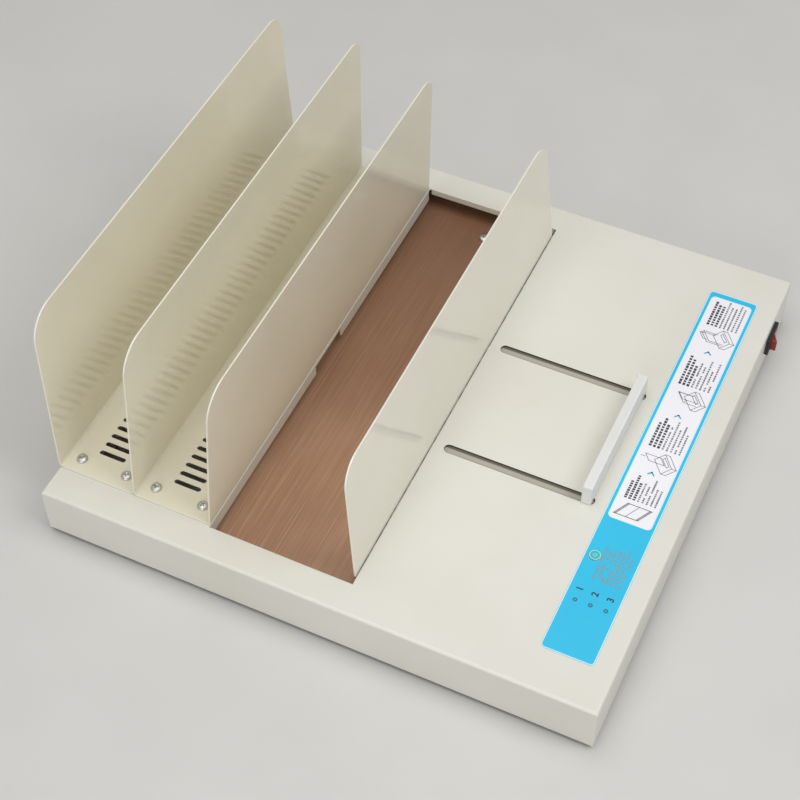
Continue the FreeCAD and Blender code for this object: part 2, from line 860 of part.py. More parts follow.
def cut_rack_floor(body, name, middle, columns):
    """The row of vent slots and the screw holes in a rack's floor."""
    drawing = sketch(body, f"{name}_vent_outline", "XY_Plane", "rack_floor")
    obround(drawing, f"{middle} - vent_length / 2", f"{middle} + vent_length / 2",
            "-vent_last", "vent_width")
    slot = pocket(body, drawing, f"{name}_vent", "rack_sheet + wall")
    repeat(body, [slot], f"{name}_vents", "Y_Axis", "vent_count", "2 * vent_last")
    holes = sketch(body, f"{name}_hole_outlines", "XY_Plane", "rack_floor")
    for x in columns:
        for y in ("-rack_screw_row", "rack_screw_row"):
            circle(holes, x, y, "screw_hole")
    pocket(body, holes, f"{name}_holes", "rack_sheet + wall")


def make_rack(name, profile, bends, middle, columns, free_end=None):
    """A rack folded from one sheet: its section, bends, plate outline and floor.

    The floor's corners are rounded where it ends free, without a bend.
    """
    body = new_body(name)
    drawing = sketch(body, f"{name}_section", "XZ_Plane")
    outline(drawing, profile)
    pad(body, drawing, f"{name}_sheet", "2 * rack_end", both_ways=True)
    for index, (x, z, radius) in enumerate(bends):
        round_edges(body, f"{name}_bend_{index}", radius, lambda edge: runs_along(
            edge, Vector(0, 1, 0)) and is_near(edge.BoundBox.XMin, x)
            and is_near(edge.BoundBox.ZMin, z))
    if free_end:
        round_edges(body, f"{name}_corners", "rack_corner", lambda edge: runs_along(
            edge, Vector(0, 0, 1)) and is_near(edge.BoundBox.XMin, free_end))
    trim_rack(body, name, "rack_top")
    cut_rack_floor(body, name, middle, columns)
    return body


def trim_rack(body, name, rise, **place):
    """Cut back the ends of a rack's plates that rise to one height."""
    trim_plate(body, name, "rack_end", "(rack_floor + rack_bend)", rise,
               ("front_taper", "front_round"), ("rear_taper", "rear_round"), **place)


def make_racks():
    """The left rack, an angle, and the middle rack, a channel with a lower inner plate."""
    floor_right = "middle_left - rack_gap"
    make_rack("rack_left", [
        ("left", "top"), (floor_right, "top"), (floor_right, "rack_floor"),
        ("left + rack_sheet", "rack_floor"), ("left + rack_sheet - left_lean", "rack_top"),
        ("left - left_lean", "rack_top"),
    ], [
        ("left + rack_sheet", "rack_floor", "rack_bend - rack_sheet"),
        ("left", "top", "rack_bend"),
    ], "left_vent_middle", ("left + rack_screw_inset", "middle_left - rack_screw_inset"),
        floor_right)
    middle_rack = make_rack("rack_middle", [
        ("middle_left", "top"), ("trough_left", "top"),
        ("trough_left + inner_lean", "inner_top"),
        ("trough_left + inner_lean - rack_sheet", "inner_top"),
        ("trough_left - rack_sheet", "rack_floor"), ("middle_left + rack_sheet", "rack_floor"),
        ("middle_left + rack_sheet + middle_lean", "rack_top"),
        ("middle_left + middle_lean", "rack_top"),
    ], [
        ("middle_left + rack_sheet", "rack_floor", "rack_bend - rack_sheet"),
        ("middle_left", "top", "rack_bend"),
        ("trough_left - rack_sheet", "rack_floor", "rack_small_bend - rack_sheet"),
        ("trough_left", "top", "rack_small_bend"),
    ], "middle_vent_middle", ("middle_left + rack_screw_inset", "trough_left - rack_screw_inset"))
    trim_rack(middle_rack, "rack_inner", "inner_top", right_of="middle_vent_middle")


def hexagon_nut(name, x, y, top_z):
    """A hexagon nut under a sheet, bored for its screw."""
    prism = doc.addObject("Part::Prism", name + "_prism")
    prism.Polygon = 6
    bind(prism, Circumradius="nut_width / sqrt(3)", Height="nut_height")
    place(prism, (x, y, f"{top_z} - nut_height"))
    bore = rod(name + "_bore", (x, y, f"{top_z} - nut_height - overrun"),
               "screw_width + screw_clearance", "nut_height + 2 * overrun")
    return cut(name, prism, bore)


def make_rack_fasteners():
    """The pan-head screws of the racks and the nuts under the panel."""
    screws = []
    nuts = []
    for index, (x, y) in enumerate(rack_screw_places()):
        screws.append(screw(f"rack_screw_{index}", (x, y, "rack_floor"), "rack_screw_length"))
        nuts.append(hexagon_nut(f"rack_nut_{index}", x, y, "under"))
    node(group("rack_screw_group", screws), "rack_screws")
    node(group("rack_nut_group", nuts), "rack_nuts")


# Heating bed

def bed_layer(name, low, height, margin="0", end="platen_end"):
    """One flat layer of the heating bed."""
    return box(name, (f"platen_left + {margin}", f"-({end})", low),
               (f"platen_width - 2 * ({margin})", f"2 * ({end})", height))


def make_heating_bed():
    """The platen with its cloth, heater, insulation, tray, posts and guards."""
    low = "tray_low - overrun"
    height = "cloth_top - tray_low + 2 * overrun"
    holes = [rod(f"bed_hole_{end}", ("trough_middle", f"{end}_post_row", low), "screw_hole", height)
             for end in ENDS]
    hole_pair = group("bed_holes", holes)
    node(cut("platen_cut", bed_layer("platen_block", "platen_low", "platen_thickness"),
             hole_pair), "heating_platen")
    make_cloth(hole_pair)
    node(bed_layer("heater_block", "heater_low", "heater_thickness", "heater_margin",
                   "heater_end"), "heater_element")
    node(bed_layer("press_plate_block", "press_plate_low", "press_plate_thickness",
                   "heater_margin", "heater_end"), "heater_press_plate")
    node(bed_layer("insulation_block", "insulation_low", "insulation_thickness", "0",
                   "heater_end"), "insulation_board")
    make_tray()
    make_bed_supports()
    make_bed_guards()


def make_cloth(hole_pair):
    """The non-stick cloth that covers the platen and folds down its long sides."""
    skirt = "cloth_skirt + cloth_thickness"
    outer = box("cloth_outer", ("platen_left - cloth_thickness", "-platen_end",
                                f"cloth_top - ({skirt})"),
                ("platen_width + 2 * cloth_thickness", "2 * platen_end", skirt))
    inner = box("cloth_inner", ("platen_left", "-platen_end - overrun",
                                f"cloth_top - ({skirt}) - overrun"),
                ("platen_width", "2 * (platen_end + overrun)", "cloth_skirt + overrun"))
    node(cut("cloth_cut", outer, inner, hole_pair), "platen_cloth")


def make_tray():
    """The open-ended sheet tray under the heating bed."""
    side = "tray_gap + tray_sheet"
    outer = box("tray_outer", (f"platen_left - ({side})", "-platen_end", "tray_low"),
                (f"platen_width + 2 * ({side})", "2 * platen_end", "tray_rise"))
    inner = box("tray_inner", ("platen_left - tray_gap", "-platen_end - overrun",
                               "insulation_low"),
                ("platen_width + 2 * tray_gap", "2 * (platen_end + overrun)", "tray_rise"))
    holes = [rod(f"tray_hole_{end}", ("trough_middle", f"{end}_post_row", "tray_low - overrun"),
                 "post_width + 2 * post_clearance", "tray_sheet + 2 * overrun")
             for end in ENDS]
    node(cut("tray_cut", outer, inner, *holes), "heat_tray")


def make_bed_supports():
    """Two posts that carry the platen, four stands under the tray and their screws."""
    posts = []
    upper = []
    lower = []
    for end in ENDS:
        y = f"{end}_post_row"
        post = rod(f"post_{end}", ("trough_middle", y, "plate_top"), "post_width",
                   "platen_low - plate_top")
        bore = rod(f"post_bore_{end}", ("trough_middle", y, "plate_low"), "screw_hole",
                   "cloth_top - plate_low")
        posts.append(cut(f"post_{end}_cut", post, bore))
        upper.append(screw(f"platen_screw_{end}", ("trough_middle", y, "cloth_top"),
                           "platen_thickness + cloth_thickness + screw_width / 2"))
        lower.append(screw(f"post_screw_{end}", ("trough_middle", y, "plate_low"),
                           "post_screw_length", head_up=False))
    node(group("post_group", posts), "platen_posts")
    node(group("platen_screw_group", upper), "platen_screws")
    node(group("post_screw_group", lower), "post_screws")
    stands = []
    for across in ("platen_left + tray_stand_inset",
                   "platen_left + platen_width - tray_stand_inset"):
        for sign in ("-", ""):
            y = f"{sign}(heater_end - tray_stand_inset)"
            stands.append(rod(f"tray_stand_{len(stands)}", (across, y, "plate_top"),
                              "tray_stand_width", "tray_low - plate_top"))
    node(group("tray_stand_group", stands), "tray_stands")


def make_bed_guards():
    """The disc thermostat and the thermal fuse under the platen's front end."""
    width = "thermostat_width"
    disc = rod("thermostat_disc", ("trough_middle - thermostat_offset", "guard_row",
                                   "platen_low - thermostat_height"), width, "thermostat_height")
    node(disc, "thermostat")
    middle_z = "platen_low - thermal_fuse_width / 2 - thermal_fuse_gap"
    fuse = rod("thermal_fuse_rod", ("trough_middle + thermal_fuse_offset - thermal_fuse_length / 2",
                                    "guard_row", middle_z),
               "thermal_fuse_width", "thermal_fuse_length", "x")
    node(fuse, "thermal_fuse")


# Sliding clamp

def make_clamp_plate():
    """The clamp: a tall plate folded from the foot that slides under the panel."""
    body = new_body("clamp_plate")
    drawing = sketch(body, "clamp_section", "XZ_Plane")
    outline(drawing, [
        ("clamp_left", "foot_plate_low"), ("foot_plate_right", "foot_plate_low"),
        ("foot_plate_right", "foot_plate_top"), ("clamp_right", "foot_plate_top"),
        ("clamp_right - clamp_lean", "clamp_top"), ("clamp_left - clamp_lean", "clamp_top"),
    ])
    pad(body, drawing, "clamp_sheet_pad", "2 * clamp_end", both_ways=True)
    for index, (x, z, radius) in enumerate((
            ("clamp_right", "foot_plate_top", "clamp_bend - clamp_sheet"),
            ("clamp_left", "foot_plate_low", "clamp_bend"))):
        round_edges(body, f"clamp_bend_{index}", radius, lambda edge: runs_along(
            edge, Vector(0, 1, 0)) and is_near(edge.BoundBox.XMin, x)
            and is_near(edge.BoundBox.ZMin, z))
    ends = sketch(body, "foot_end_outlines", "XY_Plane", "top")
    for sign in ("-", ""):
        rectangle(ends, "clamp_right + foot_lip", f"{sign}foot_plate_width / 2",
                  "foot_plate_right + overrun", f"{sign}(clamp_end + overrun)")
    pocket(body, ends, "foot_ends", "casing_height / 2")
    trim_plate(body, "clamp", "clamp_end", "top", "clamp_top",
               ("clamp_front_taper", "clamp_front_round"),
               ("clamp_rear_taper", "clamp_rear_round"))
    holes = sketch(body, "foot_hole_outlines", "XY_Plane", "foot_plate_top")
    for row in ("guide_row", "-guide_row"):
        circle(holes, "handle_middle", row, "screw_hole")
    pocket(body, holes, "foot_holes", "clamp_sheet + overrun")


def make_handle():
    """The handle bar above the panel, with its bushes and screws."""
    body = new_body("clamp_handle")
    base = sketch(body, "handle_outline", "XY_Plane", "handle_low")
    rectangle(base, "handle_middle - handle_width / 2", "-handle_length / 2",
              "handle_middle + handle_width / 2", "handle_length / 2")
    pad(body, base, "handle_bar", "handle_height")
    round_edges(body, "handle_edges", "handle_edge",
                lambda edge: not is_near(edge.BoundBox.ZMin, "handle_low"))
    holes = sketch(body, "handle_hole_outlines", "XY_Plane", "handle_low")
    for row in ("guide_row", "-guide_row"):
        circle(holes, "handle_middle", row, "screw_hole")
    pocket(body, holes, "handle_holes", "handle_screw_length", backwards=True)
    bushes = []
    screws = []
    for end, row in (("front", "-guide_row"), ("rear", "guide_row")):
        sleeve = rod(f"bush_{end}_sleeve", ("handle_middle", row, "foot_plate_top"),
                     "guide_slot_width - 2 * bush_clearance", "handle_low - foot_plate_top")
        bore = rod(f"bush_{end}_bore", ("handle_middle", row, "foot_plate_low"),
                   "screw_hole", "handle_height")
        bushes.append(cut(f"bush_{end}", sleeve, bore))
        screws.append(screw(f"handle_screw_{end}", ("handle_middle", row, "foot_plate_low"),
                            "handle_screw_length", head_up=False))
    node(group("bush_group", bushes), "guide_bushes")
    node(group("handle_screw_group", screws), "handle_screws")


def make_rails():
    """Two folded rails under the panel that carry the edges of the sliding foot."""
    for name, sign in (("rail_front", "-"), ("rail_rear", "")):
        body = new_body(name)
        drawing = sketch(body, f"{name}_section", "YZ_Plane", "rail_left")
        inner = "foot_plate_width / 2"
        web = f"{inner} + slide_gap"
        points = [
            (f"{inner} - rail_lip", "rail_top - rail_sheet"),
            (f"{web} + rail_sheet", "rail_top - rail_sheet"),
            (f"{web} + rail_sheet", "under - rail_sheet"),
            (f"{web} + rail_flange", "under - rail_sheet"),
            (f"{web} + rail_flange", "under"),
            (web, "under"), (web, "rail_top"), (f"{inner} - rail_lip", "rail_top"),
        ]
        outline(drawing, [(f"{sign}({y})", z) for y, z in points])
        pad(body, drawing, f"{name}_strip", "foot_plate_right - rail_left")


# Operating panel

def lamp_places():
    """The lamps' places across the label, from left to right."""
    return [f"label_left + lamp_across + {index} * lamp_pitch" for index in range(3)]


def make_label():
    """The film that covers the operating panel, open round the start key."""
    body = new_body("control_label")
    base = sketch(body, "label_outline", "XY_Plane", "top")
    rectangle(base, "label_left", "label_front", "label_left + label_width", "label_rear")
    pad(body, base, "label_film", "label_thickness")
    round_edges(body, "label_corners", "label_corner",
                lambda edge: runs_along(edge, Vector(0, 0, 1)))
    hole = sketch(body, "label_hole_outline", "XY_Plane", "top + label_thickness")
    circle(hole, "key_x", "key_y", "key_width + 2 * key_clearance")
    pocket(body, hole, "label_hole", "label_thickness + overrun")


def make_start_key():
    """The start key: a disc in the label with a stem down into the push switch."""
    cap = rod("key_cap", ("key_x", "key_y", "key_low"), "key_width", "key_thickness")
    stem = rod("key_stem", ("key_x", "key_y", "stem_foot"), "key_stem_width",
               "key_low - stem_foot")
    node(join("key_join", cap, stem), "start_key")


def make_indicator_board():
    """The small board under the label with its studs, lamps and push switch."""
    low = "indicator_top - board_thickness"
    node(box("indicator_block", ("indicator_left", "indicator_front", low),
             ("indicator_board_width", "indicator_board_length", "board_thickness")),
         "indicator_board")
    studs = []
    for x in ("indicator_left + stud_inset",
              "indicator_left + indicator_board_width - stud_inset"):
        for y in ("indicator_front + stud_inset",
                  "indicator_front + indicator_board_length - stud_inset"):
            studs.append(rod(f"stud_{len(studs)}", (x, y, "indicator_top"), "stud_width",
                             "indicator_board_drop"))
    node(group("stud_group", studs), "indicator_studs")
    for name, x in zip(("lamp_left", "lamp_middle", "lamp_right"), lamp_places()):
        rim = rod(f"{name}_rim", (x, "lamp_y", "indicator_top"), "lamp_rim_width",
                  "lamp_rim_height")
        stem = rod(f"{name}_stem", (x, "lamp_y", "indicator_top"), "lamp_width",
                   "top - lamp_recess - lamp_width / 2 - indicator_top")
        dome = doc.addObject("Part::Sphere", f"{name}_dome")
        bind(dome, Radius="lamp_width / 2")
        place(dome, (x, "lamp_y", "top - lamp_recess - lamp_width / 2"))
        node(join(f"{name}_join", rim, stem, dome), name)
    block = box("push_switch_block",
                ("key_x - push_switch_width / 2", "key_y - push_switch_width / 2",
                 "indicator_top"),
                ("push_switch_width", "push_switch_width", "push_switch_height"))
    bore = rod("push_switch_bore", ("key_x", "key_y", "indicator_top + push_switch_floor"),
               "key_stem_width + 2 * push_switch_clearance", "push_switch_height")
    node(cut("push_switch_cut", block, bore), "push_switch")


# Power board

def standoff_places():
    """The middle of each standoff under the power board."""
    return [(x, y) for x in ("power_left + standoff_inset",
                             "power_left + power_board_width - standoff_inset")
            for y in ("power_front + standoff_inset",
                      "power_front + power_board_length - standoff_inset")]


def make_power_board():
    """The power board on its standoffs, with the parts that it carries."""
    board = box("power_block", ("power_left", "power_front", "power_low"),
                ("power_board_width", "power_board_length", "board_thickness"))
    standoffs = []
    screws = []
    holes = []
    for index, (x, y) in enumerate(standoff_places()):
        post = rod(f"standoff_{index}_post", (x, y, "plate_top"), "standoff_width",
                   "standoff_height")
        bore = rod(f"standoff_{index}_bore", (x, y, "plate_low"), "casing_screw_hole",
                   "power_top - plate_low")
        standoffs.append(cut(f"standoff_{index}", post, bore))
        holes.append(rod(f"board_hole_{index}", (x, y, "plate_top"), "casing_screw_hole",
                         "standoff_height + 2 * board_thickness"))
        screws.append(screw(f"board_screw_{index}", (x, y, "power_top"),
                            "casing_screw_length - board_thickness / 2", small=True))
    node(cut("power_cut", board, *holes), "power_board")
    node(group("standoff_group", standoffs), "board_standoffs")
    node(group("board_screw_group", screws), "board_screws")
    make_board_parts()


def make_board_parts():
    """Transformer, relay, capacitor, buzzer, terminals and fuse in two files."""
    left_file = "power_left + 2 * standoff_inset"
    right_file = "power_left + power_board_width - 2 * standoff_inset - terminal_width"
    first = "power_front + 2 * standoff_inset"
    core = box("transformer_core", (left_file, first, "power_top"),
               ("transformer_width", "transformer_length", "transformer_height - coil_rise"))
    coil = box("transformer_coil", (left_file, f"{first} + coil_margin", "power_top"),
               ("transformer_width", "transformer_length - 2 * coil_margin",
                "transformer_height"))
    node(join("transformer_join", core, coil), "transformer")
    second = f"{first} + transformer_length + part_spacing"
    node(box("relay_block", (left_file, second, "power_top"),
             ("relay_width", "relay_length", "relay_height")), "heater_relay")
    third = f"{second} + relay_length + part_spacing + capacitor_width / 2"
    node(rod("capacitor_can", (f"{left_file} + capacitor_width / 2", third, "power_top"),
             "capacitor_width", "capacitor_height"), "capacitor")
    block = box("terminal_block", (right_file, first, "power_top"),
                ("terminal_width", "terminal_length", "terminal_height"))
    mouths = []
    for index in range(int(SIZES["terminal_count"])):
        y = f"{first} + (terminal_length - (terminal_count - 1) * terminal_pitch) / 2" \
            f" + {index} * terminal_pitch - terminal_mouth_width / 2"
        mouths.append(box(f"terminal_mouth_{index}", (f"{right_file} + terminal_width / 2", y,
                                                      "power_top + terminal_mouth_width / 2"),
                          ("terminal_width / 2 + overrun", "terminal_mouth_width",
                           "terminal_mouth_width")))
    node(cut("terminal_cut", block, *mouths), "terminal_strip")
    behind = f"{first} + terminal_length + part_spacing"
    node(box("fuse_block", (right_file, behind, "power_top"),
             ("fuse_width", "fuse_length", "fuse_height")), "fuse_holder")
    last = f"{behind} + fuse_length + part_spacing + buzzer_width / 2"
    node(rod("buzzer_can", (f"{right_file} + terminal_width - buzzer_width / 2", last,
                            "power_top"), "buzzer_width", "buzzer_height"), "buzzer")


# Power switch

def make_switch():
    """The rocker switch's body with its bezel, tabs and the paddle in it."""
    body_low = ("right - switch_body_depth", "switch_y - switch_body_length / 2",
                "switch_z - switch_body_height / 2")
    block = box("switch_block", body_low, ("switch_body_depth + bezel_depth",
                                           "switch_body_length", "switch_body_height"))
    bezel = box("switch_bezel", ("right", "switch_y - bezel_length / 2",
                                 "switch_z - bezel_height / 2"),
                ("bezel_depth", "bezel_length", "bezel_height"))
    mouth = "paddle_height + 2 * paddle_clearance"
    cavity_length = "switch_body_length - 2 * pivot_length"
    cavity = box("switch_cavity", ("bezel_face - switch_cavity_depth",
                                   f"switch_y - ({cavity_length}) / 2",
                                   f"switch_z - ({mouth}) / 2"),
                 ("switch_cavity_depth + overrun", cavity_length, mouth))
    socket_length = "paddle_height + 2 * (pivot_length + pivot_clearance)"
    socket = rod("switch_socket", ("pivot_x", "switch_y", f"switch_z - ({socket_length}) / 2"),
                 "pivot_width + 2 * pivot_clearance", socket_length)
    tabs = [box(f"switch_tab_{index}", ("right - switch_body_depth - switch_tab_length",
                                        f"switch_y {sign} switch_tab_spread / 2"
                                        " - switch_tab_thickness / 2",
                                        "switch_z - switch_tab_width / 2"),
                ("switch_tab_length", "switch_tab_thickness", "switch_tab_width"))
            for index, sign in enumerate(("-", "+"))]
    shell = cut("switch_shell", join("switch_form", block, bezel), cavity, socket)
    node(shell, "rocker_switch")
    node(group("switch_tab_group", tabs), "switch_tabs")
    make_paddle()


def make_paddle():
    """The rocker paddle, a shallow V on a pivot, tipped with its front half out."""
    body = new_body("rocker_paddle")
    drawing = sketch(body, "paddle_section", "XY_Plane", "-paddle_height / 2")
    outline(drawing, [
        ("paddle_crown", "0"), ("paddle_crown + paddle_rise", "paddle_half_length"),
        ("0", "paddle_half_length - paddle_taper"), ("-paddle_keel_depth", "paddle_keel_width / 2"),
        ("-paddle_keel_depth", "-paddle_keel_width / 2"),
        ("0", "-paddle_half_length + paddle_taper"),
        ("paddle_crown + paddle_rise", "-paddle_half_length"),
    ])
    pad(body, drawing, "paddle_form", "paddle_height")
    pins = sketch(body, "paddle_pin_outline", "XY_Plane", "-paddle_height / 2 - pivot_length")
    circle(pins, "0", "0", "pivot_width")
    pad(body, pins, "paddle_pins", "paddle_height + 2 * pivot_length")
    tip = "atan(paddle_rise / paddle_half_length)"
    body.Placement = FreeCAD.Placement(Vector(), Rotation(Vector(0, 0, 1), 1))
    bind(body, Placement__Rotation__Angle=tip)
    place(body, ("pivot_x", "switch_y", "switch_z"))


# Mains inlet

def inlet_screw_places():
    """The two inlet screws' places along the rear wall."""
    return ["inlet_x - inlet_screw_spread / 2", "inlet_x + inlet_screw_spread / 2"]


def make_inlet():
    """The three-pole appliance inlet with its contact blades and screws."""
    body = new_body("mains_inlet")
    flange = sketch(body, "inlet_flange_outline", "XZ_Plane", "-rear")
    rectangle(flange, "inlet_x - inlet_flange_length / 2", "inlet_z - inlet_flange_height / 2",
              "inlet_x + inlet_flange_length / 2", "inlet_z + inlet_flange_height / 2")
    pad(body, flange, "inlet_flange", "inlet_flange_depth", backwards=True)
    round_edges(body, "inlet_flange_corners", "inlet_flange_corner",
                lambda edge: runs_along(edge, Vector(0, 1, 0)))
    block = sketch(body, "inlet_body_outline", "XZ_Plane", "-rear")
    rectangle(block, "inlet_x - inlet_body_length / 2", "inlet_z - inlet_body_height / 2",
              "inlet_x + inlet_body_length / 2", "inlet_z + inlet_body_height / 2")
    pad(body, block, "inlet_body", "inlet_body_depth")
    cut_inlet_mouth(body)
    screws = [screw(f"inlet_screw_{index}", (x, "inlet_face", "inlet_z"), "inlet_screw_length",
                    "y", small=True) for index, x in enumerate(inlet_screw_places())]
    blades = [box(f"blade_{index}", (x, "inlet_floor - blade_root", z),
                  ("blade_thickness", "blade_root + blade_length", "blade_width"))
              for index, (x, z) in enumerate(blade_places())]
    node(group("blade_group", blades), "inlet_blades")
    node(group("inlet_screw_group", screws), "inlet_screws")


def blade_places():
    """The lowest corner of each contact blade, seen along the inlet's axis."""
    spots = (("-blade_spread / 2", "-blade_offset / 2"), ("0", "blade_offset / 2"),
             ("blade_spread / 2", "-blade_offset / 2"))
    return [(f"inlet_x + {across} - blade_thickness / 2", f"inlet_z + {rise} - blade_width / 2")
            for across, rise in spots]


def cut_inlet_mouth(body):
    """The inlet's mouth with two slanted corners, its blade slots and screw holes."""
    mouth = sketch(body, "inlet_mouth_outline", "XZ_Plane", "-inlet_face")
    half = "inlet_mouth_length / 2"
    low = "inlet_z - inlet_mouth_height / 2"
    high = "inlet_z + inlet_mouth_height / 2"
    outline(mouth, [
        (f"inlet_x - {half}", low), (f"inlet_x + {half}", low),
        (f"inlet_x + {half}", f"{high} - inlet_mouth_slant"),
        (f"inlet_x + {half} - inlet_mouth_slant", high),
        (f"inlet_x - {half} + inlet_mouth_slant", high),
        (f"inlet_x - {half}", f"{high} - inlet_mouth_slant"),
    ])
    pocket(body, mouth, "inlet_mouth", "inlet_mouth_depth", backwards=True)
    slots = sketch(body, "blade_slot_outlines", "XZ_Plane", "-inlet_floor")
    for x, z in blade_places():
        rectangle(slots, x, z, f"{x} + blade_thickness", f"{z} + blade_width")
    pocket(body, slots, "blade_slots", "inlet_floor - rear + inlet_body_depth + overrun",
           backwards=True)
    holes = sketch(body, "inlet_hole_outlines", "XZ_Plane", "-inlet_face")
    for x in inlet_screw_places():
        circle(holes, x, "inlet_z", "casing_screw_hole")
    pocket(body, holes, "inlet_holes", "inlet_flange_depth + overrun", backwards=True)


def check_and_export():
    """Look for failed steps and bad shapes, then write one file for each sub-part."""
    doc.recompute()
    for thing in doc.Objects:
        if "Invalid" in thing.State or "Error" in thing.State:
            raise RuntimeError(f"{thing.Label} failed: {thing.State}")
    os.makedirs("parts", exist_ok=True)
    for piece in nodes:
        shape = piece.Shape
        if shape.isNull() or not shape.isValid():
            raise RuntimeError(f"{piece.Label} has no valid shape")
        shape.exportStep(f"parts/{piece.Label}.step")
        print(f"{piece.Label}: {len(shape.Solids)} solid(s), {shape.Volume:.1f} mm3")
    print(f"{len(nodes)} sub-parts")


fill_sheet()
make_top_cover()
make_bottom_plate()
make_feet()
make_brackets()
make_racks()
make_rack_fasteners()
make_heating_bed()
make_clamp_plate()
make_handle()
make_rails()
make_label()
make_start_key()
make_indicator_board()
make_power_board()
make_switch()
make_inlet()
check_and_export()
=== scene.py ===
"""Looks of a desktop thermal binding machine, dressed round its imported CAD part.

Lengths are in metres. X runs along the machine's front from left to right, Y from
front to back and Z upwards from the surface that the machine stands on.
"""
from __future__ import annotations

import json
import logging
import math
from dataclasses import dataclass, field
from enum import Enum
from typing import Any, Iterable, Sequence

import bmesh
import bpy
from mathutils import Matrix, Vector

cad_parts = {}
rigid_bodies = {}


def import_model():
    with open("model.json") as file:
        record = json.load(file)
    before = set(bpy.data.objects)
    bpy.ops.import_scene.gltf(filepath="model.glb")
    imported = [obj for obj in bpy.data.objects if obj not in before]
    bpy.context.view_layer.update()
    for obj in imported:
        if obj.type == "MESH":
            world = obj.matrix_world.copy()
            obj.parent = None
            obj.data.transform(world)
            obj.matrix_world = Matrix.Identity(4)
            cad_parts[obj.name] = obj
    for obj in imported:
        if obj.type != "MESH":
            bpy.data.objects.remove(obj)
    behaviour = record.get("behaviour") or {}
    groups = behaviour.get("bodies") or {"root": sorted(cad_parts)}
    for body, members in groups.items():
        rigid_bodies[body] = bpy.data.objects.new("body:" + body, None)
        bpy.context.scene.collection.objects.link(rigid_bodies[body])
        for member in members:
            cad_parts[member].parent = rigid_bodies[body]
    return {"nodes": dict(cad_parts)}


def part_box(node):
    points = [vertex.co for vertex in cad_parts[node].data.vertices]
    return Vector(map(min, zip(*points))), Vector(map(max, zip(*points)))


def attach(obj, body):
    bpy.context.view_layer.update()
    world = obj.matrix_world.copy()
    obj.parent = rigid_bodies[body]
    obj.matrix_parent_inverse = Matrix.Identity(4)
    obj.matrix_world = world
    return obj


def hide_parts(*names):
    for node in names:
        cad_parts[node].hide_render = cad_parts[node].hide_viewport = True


LOG = logging.getLogger("binding_machine")
MM = 0.001
CREASE = math.radians(35)  # edges sharper than this stay sharp, or are rounded
FLAT = math.radians(0.6)  # faces that meet at less than this count as one
TOUCHING = 1e-6  # corners nearer than this are one corner

Colour = tuple[float, float, float, float]
Spot = tuple[float, float]
Place = tuple[float, float, float]

for leftover in list(bpy.data.objects):
    bpy.data.objects.remove(leftover)

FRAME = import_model()


def tone(red: int, green: int, blue: int) -> Colour:
    """Turn a colour as it is seen on a screen into the linear colour that shaders take.

    Args:
        red: red from 0 to 255.
        green: green from 0 to 255.
        blue: blue from 0 to 255.

    Returns:
        The linear colour with a full alpha.
    """
    def bend(level: int) -> float:
        """Undo the screen's curve for one channel."""
        share = level / 255
        return share / 12.92 if share <= 0.04045 else ((share + 0.055) / 1.055) ** 2.4

    return bend(red), bend(green), bend(blue), 1.0


class Body(Enum):
    """The bodies that pieces ride on."""

    BASE = "base"
    CLAMP = "clamp"
    ROCKER = "rocker"
    KEY = "key"


class Slot(Enum):
    """The record's material slots."""

    SHEET_PAINT = "sheet_paint"
    PLATE_PAINT = "plate_paint"
    ZINC_SHEET = "zinc_sheet"
    SCREW_STEEL = "screw_steel"
    PLATEN_ALUMINIUM = "platen_aluminium"
    BROWN_CLOTH = "brown_cloth"
    HEATER_FOIL = "heater_foil"
    INSULATION = "insulation"
    CERAMIC = "ceramic"
    WHITE_PLASTIC = "white_plastic"
    NATURAL_NYLON = "natural_nylon"
    RUBBER = "rubber"
    PANEL_FILM = "panel_film"
    KEY_FILM = "key_film"
    LAMP_LENS = "lamp_lens"
    BOARD_LAMINATE = "board_laminate"
    BLACK_PLASTIC = "black_plastic"
    RED_PLASTIC = "red_plastic"
    CONTACT_BRASS = "contact_brass"
    CORE_STEEL = "core_steel"
    TERMINAL_GREEN = "terminal_green"
    CAPACITOR_SLEEVE = "capacitor_sleeve"


class Facing(Enum):
    """Which way a screw's head looks, as the turn from a head that looks up."""

    UP = (0.0, 0.0, 0.0)
    DOWN = (math.pi, 0.0, 0.0)
    REAR = (-math.pi / 2, 0.0, 0.0)


# Node trees

